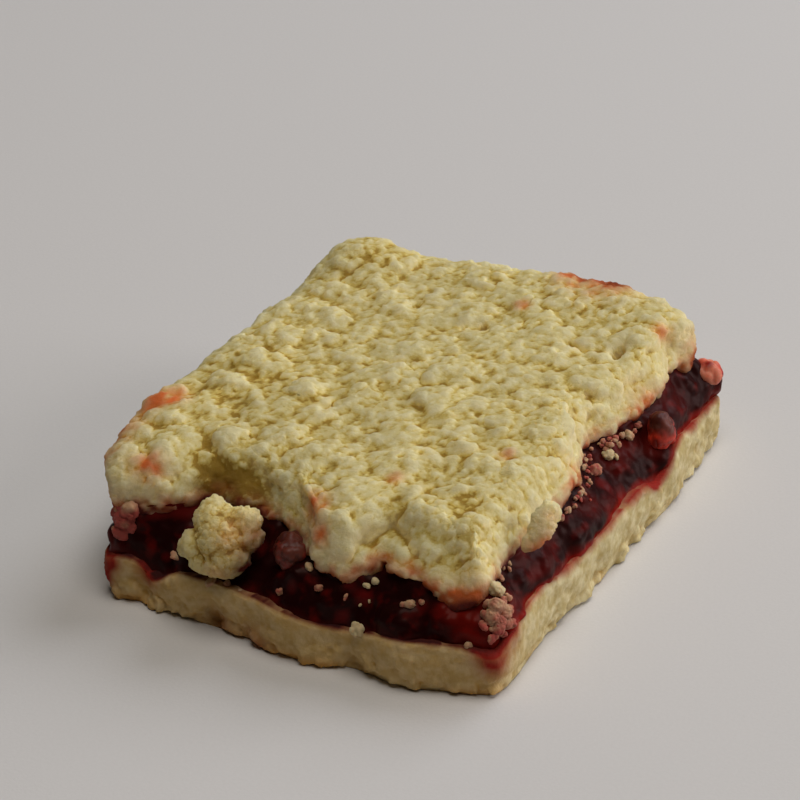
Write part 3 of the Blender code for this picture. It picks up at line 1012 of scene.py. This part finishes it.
def topping_height(place):
    """How high the top is over places on the slice, before any lumps."""
    return feature_sum(place, TOPPING_HEIGHT, TOPPING_TOP)


def topping_patch(edge_ring):
    """The upper surface: a Coons patch inside its edge ring, lifted to the topping's height."""
    corner = COLUMNS + ROWS
    front = edge_ring[: COLUMNS + 1]
    right = edge_ring[COLUMNS : corner + 1]
    back = edge_ring[corner : corner + COLUMNS + 1][::-1]
    left = np.vstack([edge_ring[corner + COLUMNS :], edge_ring[:1]])[::-1]
    a = np.linspace(0, 1, COLUMNS + 1)[:, None, None]
    b = np.linspace(0, 1, ROWS + 1)[None, :, None]
    across = (1 - a) * left[None] + a * right[None]
    along = (1 - b) * front[:, None] + b * back[:, None]
    corners = (1 - b) * ((1 - a) * front[0] + a * front[-1]) + b * ((1 - a) * back[0] + a * back[-1])
    patch = across + along - corners
    across_share, along_share = 2 * a[..., 0] - 1, 2 * b[..., 0] - 1
    back_left = np.maximum(-across_share, along_share).clip(0) ** EDGE_SHARPNESS
    front_right = np.maximum(across_share, -along_share).clip(0) ** FRONT_SHARPNESS
    nearness = np.maximum(back_left, front_right)
    patch[..., 2] = topping_height(patch.reshape(-1, 3)).reshape(nearness.shape) - EDGE_DROP * nearness
    return patch


def humps(points, list_of_humps, power):
    """The tallest of some named oval humps over each point, each (x, y, half width, half depth, height)."""
    lift = np.zeros(len(points))
    for x, y, wide, deep, high in list_of_humps:
        square = ((points[:, 0] - x) / wide) ** 2 + ((points[:, 1] - y) / deep) ** 2
        lift = np.maximum(lift, high * np.clip(1 - square, 0, None) ** power)
    return lift * (points[:, 2] > 21)


def crumbled(points, quads, movable, levels):
    """Lifts the points along their normals over lumps of several sizes, each level on the last.

    Creases then run where a smooth noise n passes its middle: the surface rises by |2 n - 1| beside them.
    """
    for cell, seed, height, low, high, power, join in levels:
        spread = LUMP_SPREAD[0] + LUMP_SPREAD[1] * noise(points, 2.2 * cell, seed + 5)
        crinkled = stirred(points, 0.45 * cell, 0.4 * cell, seed + 9)
        lift = lumps(crinkled, cell, seed, low, high, power, join, chunky=CHUNKY) * cell * height
        points = raised(points, quads, lift * movable * spread)
    for cell, seed, height in CREASES:
        soft = noise(stirred(points, 0.7 * cell, 0.8 * cell, seed + 3), cell, seed)
        lift = (abs(2 * soft - 1) - 0.3) * cell * height
        points = raised(points, quads, lift * movable)
    crinkled = stirred(points, 0.8, 0.9, 170)
    pits = lumps(crinkled, PIT_IN_CRUMBLE, 160, 0.10, 0.2, power=0.8, share=0.15) * PIT_IN_CRUMBLE * 0.9
    return raised(points, quads, -pits * movable)


def crumb_depth(points, quads, spacing):
    """How hollow a place is, half by the lumps round it and half by the grains."""
    lumpy = hollowness(points, quads, passes(1.6, spacing))
    return 0.55 * lumpy + 0.45 * hollowness(points, quads, passes(0.6, spacing), deep=0.4)


def topping_rings(edge):
    """The wall's rings: the closed underside, then from the foot on the jam up to the edge, over a belly."""
    ragged = noise(ring(0, 0), 3.6, 180) + 0.6 * noise(ring(0, 0), 1.6, 181)
    on_jam, foot_line = jam_profile(1 - FOOT_RAGGED * ragged - FOOT_LOW)
    foot = FOOT_DEEP - on_jam
    rings = [inner_ring(ring(-foot, foot_line), FILLING_INNER, FILLING_HEIGHT + SEAM)]
    for share in UNDERSIDE:
        rings.append(ring(-foot - UNDERSIDE_DEEP * (1 - share), foot_line - UNDERSIDE_SAG * (1 - share**2)))
    for share in TOPPING_WALL:
        set_in = foot + (FOOT - foot) * share
        offset = BELLY * math.sin(math.pi * min(share * BELLY_RISE, 0.5)) - set_in - LEAN * share**2
        rings.append(ring(offset, foot_line + (edge[:, 2] - foot_line) * share))
    return rings


def eased(points, quads, reach, share):
    """Moves each point its share of the way to its smoothed place."""
    return points + (smoothed(points, quads, passes(reach, SPACING)) - points) * share[:, None]


def topping_values(points, quads, rings):
    """What the finish reads. Steep walls are painted paler, as floury crumb and partly painted light, except in
    the painted shade spots, which also deepen the hollows. Juice soaks the walls up to FOOT_SOAK above their
    foot.
    """
    ragged = noise(points, 1.3, 33)
    on_wall = COUNT * rings
    above_foot = np.full(len(points), FILLING_HEIGHT)
    above_foot[:on_wall] = points[:on_wall, 2] - every_ring(FOOT_LINE, rings)
    below = np.clip(1 - above_foot / FOOT_SOAK, 0, 1)
    upward = point_normals(smoothed(points, quads, 2), quads)[:, 2]
    painted_shade = splashes(points, PAINTED_SHADE_AND_DARKER_CRUMBLE)
    stain = splashes(points, JUICE_ON_CRUMBLE) * (0.35 + 1.2 * ragged) + 1.6 * below * ragged
    soaked_and_shaded = splashes(points, SOAKED_AND_SHADED_CRUMBLE) * (0.5 + ragged) + 1.3 * below**2 * ragged
    return {
        # Painted shade spots deepen the hollows.
        "hollow": crumb_depth(points, quads, SPACING) + painted_shade,
        # Steep sides painted paler, partly as painted light, and kept out of the painted shade spots.
        "floury_and_painted_light": np.clip(1.2 - 1.6 * upward, 0, 1) * np.clip(0.95 - 2.5 * painted_shade, 0, 1),
        "stain": np.clip(stain, 0, 1),
        "soaked_and_shaded": np.clip(soaked_and_shaded, 0, 1),
    }


def make_topping():
    """Wall and upper surface as one mesh: smoothed, sunk, then raised by pebbles and all sizes of lump."""
    edge = ring(BELLY - FOOT - LEAN, 0)
    edge[:, 2] = topping_height(edge) - EDGE_DROP
    rings = topping_rings(edge)
    points = np.vstack([*rings, topping_patch(edge).reshape(-1, 3)])
    number = COUNT * len(rings) + np.arange((COLUMNS + 1) * (ROWS + 1)).reshape(COLUMNS + 1, ROWS + 1)
    border = np.concatenate([number[:-1, 0], number[-1, :-1], number[:0:-1, -1], number[0, :0:-1]])
    last = COUNT * (len(rings) - 1) + np.arange(COUNT)
    join = np.column_stack([last, np.roll(last, -1), np.roll(border, -1), border])
    quads = np.vstack([bands(0, len(rings)), join, grid_quads(number)])
    movable = np.ones(len(points))
    movable[: 2 * COUNT] = 0
    points = eased(points, quads, WALL_EASE, movable)
    normals = point_normals(points, quads)
    sink = TOPPING_SINK * (SIDE_SINK + (1 - SIDE_SINK) * abs(normals[:, 2]))
    points = points - normals * (movable * sink)[:, None]
    points = eased(points, quads, SUNK_EASE, movable)
    points = eased(points, quads, CORNER_ROUNDING, movable * splashes(points, ROUNDED_CORNER))
    pebbles = humps(stirred(points, 2.5, 1.5, 97), PEBBLES, 0.9)
    dents = humps(stirred(points, 1.5, 0.8, 95), DENTS, 0.9)
    points = raised(points, quads, (pebbles - dents) * movable)
    points = crumbled(points, quads, movable, CRUMBLE_LUMPS)
    middle = points[number[TOP_RIM:-TOP_RIM, TOP_RIM:-TOP_RIM].ravel()]
    above_plain = middle[:, 2] - topping_height(middle)
    print("mean of the top above its plain height:", above_plain.mean().round(2), "mm")
    print("highest point:", points[:, 2].max().round(2), "mm")
    values = topping_values(points, quads, len(rings))
    made = write_mesh("crumble_fine", points, [quads, [list(range(COUNT))[::-1]]], CRUMBLE, values)
    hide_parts("crumble_topping")


make_topping()


# %% [markdown]
# Two lumps of crumble lie free: one has slipped down on the front cut and one hangs on the right cut. Each is
# a few balls grown into one, so that it gets knobs and arms where the real one has them. Metaballs could do
# that as well, but one ball stretched over all of them keeps even squares for the fine crumbs. From the
# lump's middle every direction goes out to the farthest ball, and the surface is then crumbled like the
# topping.

# %% Free lumps
SLIPPED_MIDDLE = (-14.4, -41.2, 16.4)
SLIPPED_BALLS = (
    (0.6, 0.2, -0.2, 4.4),
    (-2.0, 1.8, 3.2, 2.3),
    (0.8, 1.6, 2.4, 2.3),
    (-1.8, 1.0, 1.8, 3.0),
    (3.6, 2.0, 2.4, 2.6),
    (4.2, 1.4, 0.2, 2.5),
    (1.5, -2.0, -3.0, 2.9),
    (3.2, -1.6, -2.2, 2.5),
    (-5.6, -1.8, -2.6, 1.5),
    (-3.8, -1.4, -1.8, 2.6),
    (-2.0, -2.4, -3.6, 2.1),
)
SIDE_MIDDLE = (35.2, -23.2, 21.3)
SIDE_BALLS = (
    (0.4, 1.5, 1.5, 1.5),
    (0.2, 0.8, 0.8, 1.8),
    (0.0, 0.0, 0.0, 2.0),
    (-0.2, -0.9, -0.9, 1.9),
    (-0.5, -1.8, -1.8, 1.5),
    (-1.3, -2.8, -2.6, 1.0),
)
SLIPPED_LEVELS = (
    (2.6, 210, 0.26, 0.30, 0.80, 0.5, 8),
    (1.3, 220, 0.42, 0.30, 0.80, 0.5, 8),
    (0.8, 240, 0.50, 0.35, 0.95, 0.5, 6),
    (0.5, 245, 0.50, 0.35, 0.95, 0.5, 6),
)
SIDE_LEVELS = (
    (2.4, 230, 0.18, 0.4, 0.9, 0.5, 6),
    (1.1, 250, 0.40, 0.4, 0.9, 0.5, 6),
    (0.6, 255, 0.36, 0.4, 0.9, 0.5, 6),
)
JUICE_ON_LUMPS = (
    (-11.5, -43.0, 18.5, 2.4, 0.3),
    (-8.5, -41.0, 18.3, 2.6, 0.4),
    (-13.0, -47.0, 12.0, 2.6, 0.35),
    (36.0, -25.5, 18.0, 2.6, 0.9),
    (37.0, -24.0, 22.5, 2.0, 0.25),
)
SOAKED_LUMPS = (
    (-8.0, -40.5, 14.0, 4.0, 0.9),
    (-9.0, -44.5, 12.0, 2.4, 0.5),
    (35.5, -26.0, 16.8, 1.8, 0.7),
)


def joined_balls(ball, middle, balls):
    """Every direction from the middle, out to where it last leaves a ball.

    A ball with its centre at c and radius r is left at d.c + sqrt((d.c)^2 - |c|^2 + r^2) along direction d.
    """
    centres, radii = np.array(balls)[:, :3], np.array(balls)[:, 3]
    along = ball @ centres.T
    inside = along**2 - (centres**2).sum(axis=1) + radii**2
    leave = np.where(inside > 0, along + np.sqrt(np.clip(inside, 0, None)), 0)
    return ball * leave.max(axis=1, keepdims=True) + np.array(middle)


def make_lump(name, node, middle, balls, squares, levels, shaded):
    """A free lump. How shaded it is darkens the whole of it, as it lies in the cut's shade."""
    ball, quads = square_ball(squares)
    points = smoothed(joined_balls(ball, middle, balls), quads, 4)
    spacing = np.linalg.norm(points[quads[:, 1]] - points[quads[:, 0]], axis=1).mean()
    points = crumbled(points, quads, np.ones(len(points)), levels)
    ragged = noise(points, 1.3, 34)
    values = {
        "hollow": 0.8 * crumb_depth(points, quads, spacing) + shaded,
        "floury_and_painted_light": np.full(len(points), 0.12),
        "stain": np.clip(splashes(points, JUICE_ON_LUMPS) * (0.4 + 1.1 * ragged), 0, 1),
        "soaked_and_shaded": np.clip(0.2 * shaded + splashes(points, SOAKED_LUMPS) * (0.5 + ragged), 0, 1),
    }
    made = write_mesh(name, points, [quads], CRUMBLE, values)
    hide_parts(node)


make_lump("slipped_crumble", "slipped_lump", SLIPPED_MIDDLE, SLIPPED_BALLS, 84, SLIPPED_LEVELS, 0.36)
make_lump("side_crumble", "side_lump", SIDE_MIDDLE, SIDE_BALLS, 36, SIDE_LEVELS, 0.0)


# %% [markdown]
# Three pieces of cherry stand out of the jam. They are soft, wet and a little see-through, so light is let
# into them, under a thin clear coat. A plain stretched ball would look like a bead. So each is an oval with
# broad low domes, which the solid has too, and with finer unevenness on that. Jam covers them in places, which
# makes them dull, and where they were cut they are pale.

# %% Cherries
CHERRIES = dict(
    cherry_right=dict(centre=(36.0, 21.0, 13.2), radii=(2.5, 3.0, 4.6), turn=10, tilt=24, relief=0.3, seed=5),
    cherry_corner=dict(centre=(35.3, 41.8, 13.8), radii=(2.9, 2.9, 2.6), turn=40, tilt=0, relief=0.4, seed=6),
    cherry_front=dict(centre=(-2.6, -38.9, 15.6), radii=(3.2, 3.2, 2.6), turn=0, tilt=20, relief=0.4, seed=7),
)
CHERRY_SKINS = dict(
    cherry_right=dict(pale=0.1, dull=0.1, covered=1.6, rough=0.2),
    cherry_corner=dict(pale=0.9, dull=0.2, covered=0.0, rough=0.12),
    cherry_front=dict(pale=0.1, dull=1.2, covered=0.0, rough=0.4),
)
CHERRY_SQUARES = 24
CHERRY_SHRINK = 0.2
GLOBE_STEPS = (14, 9)
DOME_GAP = 0.62
DOME_REACH = (0.38, 0.66)


def cherry_finish():
    finish = Finish("cherry_flesh", 0.46)
    patchy = finish.ramp(finish.noise(2.2, 3.0), 0.35, 0.65)
    red = finish.mix(patchy, (132, 14, 8), (204, 48, 26))
    dull = finish.mix(finish.value("dull"), red, (72, 25, 19))
    finish.colour(finish.mix(finish.value("pale"), dull, (214, 128, 100)))
    finish.set("Specular IOR Level", 0.2)
    finish.let_light_in(0.5, (1.0, 0.3, 0.2), 2.0)
    finish.set("Coat Weight", 0.08)
    finish.set("Coat Roughness", 0.3)
    finish.bump(finish.noise(0.8, 3.0), 0.2, 0.6)
    return finish.material


CHERRY = cherry_finish()


def coarse_domes(seed):
    """The middles and radii of a ball's domes, drawn from the points of a globe and kept apart."""
    around, rows = GLOBE_STEPS
    turn, down = np.meshgrid(np.arange(around) * 2 * np.pi / around, np.linspace(0, np.pi, rows + 1)[1:-1])
    parts = (np.sin(down) * np.cos(turn), np.sin(down) * np.sin(turn), np.cos(down))
    globe = np.vstack([np.column_stack([part.ravel() for part in parts]), [0, 0, 1], [0, 0, -1]])
    random = np.random.default_rng(seed)
    kept = []
    for index in random.permutation(len(globe)):
        if not kept or np.linalg.norm(globe[kept] - globe[index], axis=1).min() > DOME_GAP:
            kept.append(index)
    return globe[kept], random.uniform(*DOME_REACH, len(kept))


def turned(turn, tilt):
    """A rotation: tilt about X, then turn about Z, in degrees."""
    return np.array(Matrix.Rotation(math.radians(turn), 3, "Z") @ Matrix.Rotation(math.radians(tilt), 3, "X"))


def oval(ball, centre, radii, turn, tilt, relief, seed):
    """A ball's points as an oval with domes, a little shrunk to leave room for finer relief.

    A dome at share a of its reach from its middle lifts the oval by relief * sqrt(1 - a^2).
    """
    middles, reach = coarse_domes(seed)
    apart = np.linalg.norm(ball[:, None] - middles[None], axis=2) / reach
    domes = (relief * np.sqrt(np.clip(1 - apart**2, 0, None))).max(axis=1)
    lift = domes - 0.6 * relief - CHERRY_SHRINK
    return (ball * (np.array(radii) + lift[:, None])) @ turned(turn, tilt).T + np.array(centre)


def make_cherry(node, shape, pale, dull, covered, rough):
    """One cherry, with jam lying over its upper part as far as it is covered."""
    ball, quads = square_ball(CHERRY_SQUARES)
    points = oval(ball, **shape)
    for cell, seed, height in ((3.6, 300, 0.24), (1.5, 310, rough)):
        lift = (lumps(points, cell, seed, power=1, join=2) - 0.4) * cell * height
        points = raised(points, quads, lift)
    upper = (points[:, 2] - shape["centre"][2]) / 2.4
    pale = pale * patches(points, 2.4, 320, slope=3, cut=1)
    dull = dull * np.clip(0.4 + noise(points, 1.6, 330), 0, 1)
    dull += covered * np.clip(upper - noise(points, 2.0, 340), 0, 1)
    made = write_mesh(node + "_fine", points, [quads], CHERRY, {"pale": pale, "dull": dull})
    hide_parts(node)


for node, shape in CHERRIES.items():
    make_cherry(node, shape, **CHERRY_SKINS[node])


# %% [markdown]
# Crumbs that fell as the slice was cut stick to the jam: pale ones, and ones that juice has turned pink. A
# particle system would spread them evenly, but the real ones lie in groups, so these have their places given
# one by one, (x, y, z, radius, pink), and each moves to the nearest point of the jam. A loose row of small ones
# is drawn at random along the topping's foot on the right cut. Each is a small uneven ball or blunt cube, and
# one mesh holds them all. At the two front corners so many lie together that they are made as a heap.

# %% Crumbs on the jam
CRUMBS_ON_JAM = (
    (12.0, -40.5, 14.0, 0.65, 0.0),
    (13.5, -40.0, 14.5, 0.6, 0.0),
    (10.0, -43.5, 13.0, 0.5, 0.7),
    (13.5, -42.5, 12.5, 0.35, 0.2),
    (12.5, -43.5, 12.0, 0.35, 0.2),
    (12.5, -46.0, 9.0, 1.25, 0.1),
    (21.0, -42.5, 14.0, 0.75, 0.5),
    (22.5, -42.0, 15.0, 0.6, 0.6),
    (20.0, -42.8, 13.6, 0.6, 0.6),
    (31.5, -45.0, 9.3, 0.6, 0.4),
    (33.2, -36.2, 16.6, 1.3, 0.05),
    (35.0, -35.6, 14.8, 0.8, 0.6),
    (32.6, -29.0, 17.4, 0.5, 0.4),
    (32.3, -31.0, 17.2, 0.5, 0.5),
    (32.8, -30.0, 16.2, 0.6, 0.5),
    (32.6, -32.4, 16.4, 0.5, 0.6),
    (33.2, -3.0, 18.6, 0.6, 0.4),
    (31.5, 1.8, 17.6, 0.6, 0.4),
    (-24.0, -42.5, 10.5, 0.9, 0.6),
    (-15.2, -46.0, 11.0, 0.8, 0.4),
    (-12.6, -45.5, 10.2, 0.6, 0.5),
    (-10.5, -45.5, 10.4, 0.5, 0.5),
    (32.1, 8.7, 15.0, 1.05, 0.1),
    (33.6, 9.4, 14.6, 0.6, 0.1),
    (32.4, 4.3, 15.3, 1.2, 0.8),
    (34.4, -6.0, 18.0, 0.5, 0.4),
    (34.9, -11.0, 17.0, 0.6, 0.5),
    (33.9, 14.4, 16.4, 0.8, 0.5),
    (32.6, 12.1, 15.6, 0.5, 0.6),
    (-2.0, -43.0, 10.0, 0.6, 0.8),
    (2.4, -41.8, 16.6, 0.7, 0.3),
    (4.6, -43.6, 13.6, 0.6, 0.8),
    (33.6, -40.6, 14.8, 0.9, 0.8),
    (35.6, -37.6, 15.2, 0.8, 0.7),
    (34.2, -39.8, 16.2, 0.7, 0.6),
    (36.2, -37.0, 13.6, 0.9, 0.9),
    (33.4, -41.6, 12.6, 0.9, 0.9),
    (36.8, -37.4, 11.6, 0.8, 0.9),
    (34.6, -41.4, 10.6, 0.8, 1.0),
    (36.2, -39.4, 10.2, 0.9, 0.8),
    (35.4, -40.2, 12.0, 0.9, 0.9),
    (35.8, -38.6, 11.2, 0.9, 0.8),
    (35.0, -40.4, 13.8, 0.8, 0.8),
    (36.0, -37.8, 12.4, 0.7, 0.8),
    (-34.6, -42.6, 12.8, 0.9, 0.8),
)
FOOT_CRUMBS = 56
FOOT_CRUMBS_Y = (-14, 19)
FOOT_CRUMBS_RADIUS = (0.25, 0.55)
FOOT_CRUMBS_PINK = (0.5, 1.1)
FOOT_CRUMBS_OUT = 1.2
FOOT_CRUMBS_DOWN = 2.0
CRUMB_OUT = 0.2
CRUMB_STRETCH = (0.6, 1.3)
CRUMB_DENTED = 0.5
CUBE_POWER = 0.4
LEFT_MIDDLE = (-33.2, -40.4, 14.6)
LEFT_BALLS = (
    (0.0, 0.0, 0.0, 2.0),
    (-1.2, 1.0, 2.2, 1.7),
    (0.9, -0.2, 1.8, 1.5),
    (-0.6, -0.6, -2.0, 1.6),
    (-1.6, 0.8, 0.0, 1.6),
    (1.3, -0.4, -0.8, 1.2),
)
HEAP_MIDDLE = (34.8, -39.2, 13.2)
HEAP_BALLS = (
    (-0.4, 0.4, 1.8, 1.2),
    (0.3, 1.3, 0.4, 1.1),
    (-0.7, -0.8, 0.6, 1.2),
    (-0.2, 0.0, -0.6, 1.3),
    (0.5, 1.1, -1.5, 1.0),
    (0.1, -0.9, -1.4, 1.1),
)
HEAP_LEVELS = (
    (1.3, 260, 0.42, 0.35, 0.95, 0.5, 6),
    (0.6, 270, 0.50, 0.35, 0.95, 0.5, 6),
)


def crumb_finish():
    finish = Finish("fallen_crumb", 0.8)
    pale = finish.mix(finish.noise(0.8, 2.0), (184, 162, 112), (204, 188, 148))
    finish.colour(finish.mix(finish.value("pink"), pale, (150, 60, 48)))
    finish.let_light_in(0.4, (1.0, 0.6, 0.4), 1.0)
    finish.bump(finish.noise(0.4, 2.0), 0.12, 0.5)
    return finish.material


def random_turns(count, random):
    """Rotation matrices from random unit quaternions."""
    w, x, y, z = random.normal(size=(count, 4)).T
    size = np.sqrt(w * w + x * x + y * y + z * z)
    w, x, y, z = w / size, x / size, y / size, z / size
    rows = [
        [1 - 2 * (y * y + z * z), 2 * (x * y - z * w), 2 * (x * z + y * w)],
        [2 * (x * y + z * w), 1 - 2 * (x * x + z * z), 2 * (y * z - x * w)],
        [2 * (x * z - y * w), 2 * (y * z + x * w), 1 - 2 * (x * x + y * y)],
    ]
    return np.moveaxis(np.array(rows), 2, 0)


def make_heap(name, middle, balls, least):
    """Soaked crumbs in a heap, pinker towards the bottom."""
    ball, quads = square_ball(40)
    points = smoothed(joined_balls(ball, middle, balls), quads, 3)
    points = crumbled(points, quads, np.ones(len(points)), HEAP_LEVELS)
    pink = np.clip(least + 1.1 * noise(points, 1.8, 430) + 0.1 * (middle[2] - points[:, 2]), 0, 1)
    made = write_mesh(name, points, [quads], CRUMB, {"pink": pink})


def foot_crumbs(random):
    """Small crumbs in a loose row along the foot of the topping on the right cut. A few lie further down."""
    y = random.uniform(*FOOT_CRUMBS_Y, FOOT_CRUMBS)
    drop = random.uniform(0, 1, FOOT_CRUMBS) ** 3
    foot = np.interp(y, PLAN[COLUMNS : COLUMNS + ROWS, 1], WIDTH / 2 - FOOT[COLUMNS : COLUMNS + ROWS])
    radius = random.uniform(*FOOT_CRUMBS_RADIUS, FOOT_CRUMBS)
    pink = random.uniform(*FOOT_CRUMBS_PINK, FOOT_CRUMBS)
    out, height = foot + FOOT_CRUMBS_OUT * drop, FILLING_HEIGHT - FOOT_CRUMBS_DOWN * drop
    return np.column_stack([out, y, height, radius, pink])


def make_fallen_crumbs():
    """Every crumb is the ball, made blunt to its own degree, then stretched, turned, placed and dented.

    A point p of the ball becomes a blunt cube's as p * m^-0.4, where m is its largest coordinate.
    """
    ball, quads = square_ball(8)
    places = np.vstack([CRUMBS_ON_JAM, foot_crumbs(np.random.default_rng(402))])
    skin, normals = JAM_SKIN
    nearest = np.linalg.norm(skin[None] - places[:, None, :3], axis=2).argmin(axis=1)
    radii = places[:, 3]
    centres = skin[nearest] + normals[nearest] * (CRUMB_OUT * radii)[:, None]
    random = np.random.default_rng(401)
    count = len(places)
    squared = ball * np.abs(ball).max(axis=1, keepdims=True) ** -CUBE_POWER
    blunt = random.random((count, 1, 1))
    shapes = (blunt * squared[None] + (1 - blunt) * ball[None]) * random.uniform(*CRUMB_STRETCH, (count, 1, 3))
    points = np.einsum("nij,nkj->nki", random_turns(count, random), shapes * radii[:, None, None])
    points = (points + centres[:, None]).reshape(-1, 3)
    every = (quads[None] + len(ball) * np.arange(count)[:, None, None]).reshape(-1, 4)
    lift = (lumps(points, 0.8, 410, 0.4, 0.8) - 0.4) * CRUMB_DENTED * np.repeat(radii, len(ball))
    points = raised(points, every, lift)
    pink = np.repeat(places[:, 4], len(ball)) * (0.5 + noise(points, 0.8, 420))
    made = write_mesh("fallen_crumbs", points, [every], CRUMB, {"pink": np.clip(pink, 0, 1)})


CRUMB = crumb_finish()
make_heap("crumb_heap", HEAP_MIDDLE, HEAP_BALLS, 0.15)
make_heap("left_crumb_heap", LEFT_MIDDLE, LEFT_BALLS, 0.65)
make_fallen_crumbs()
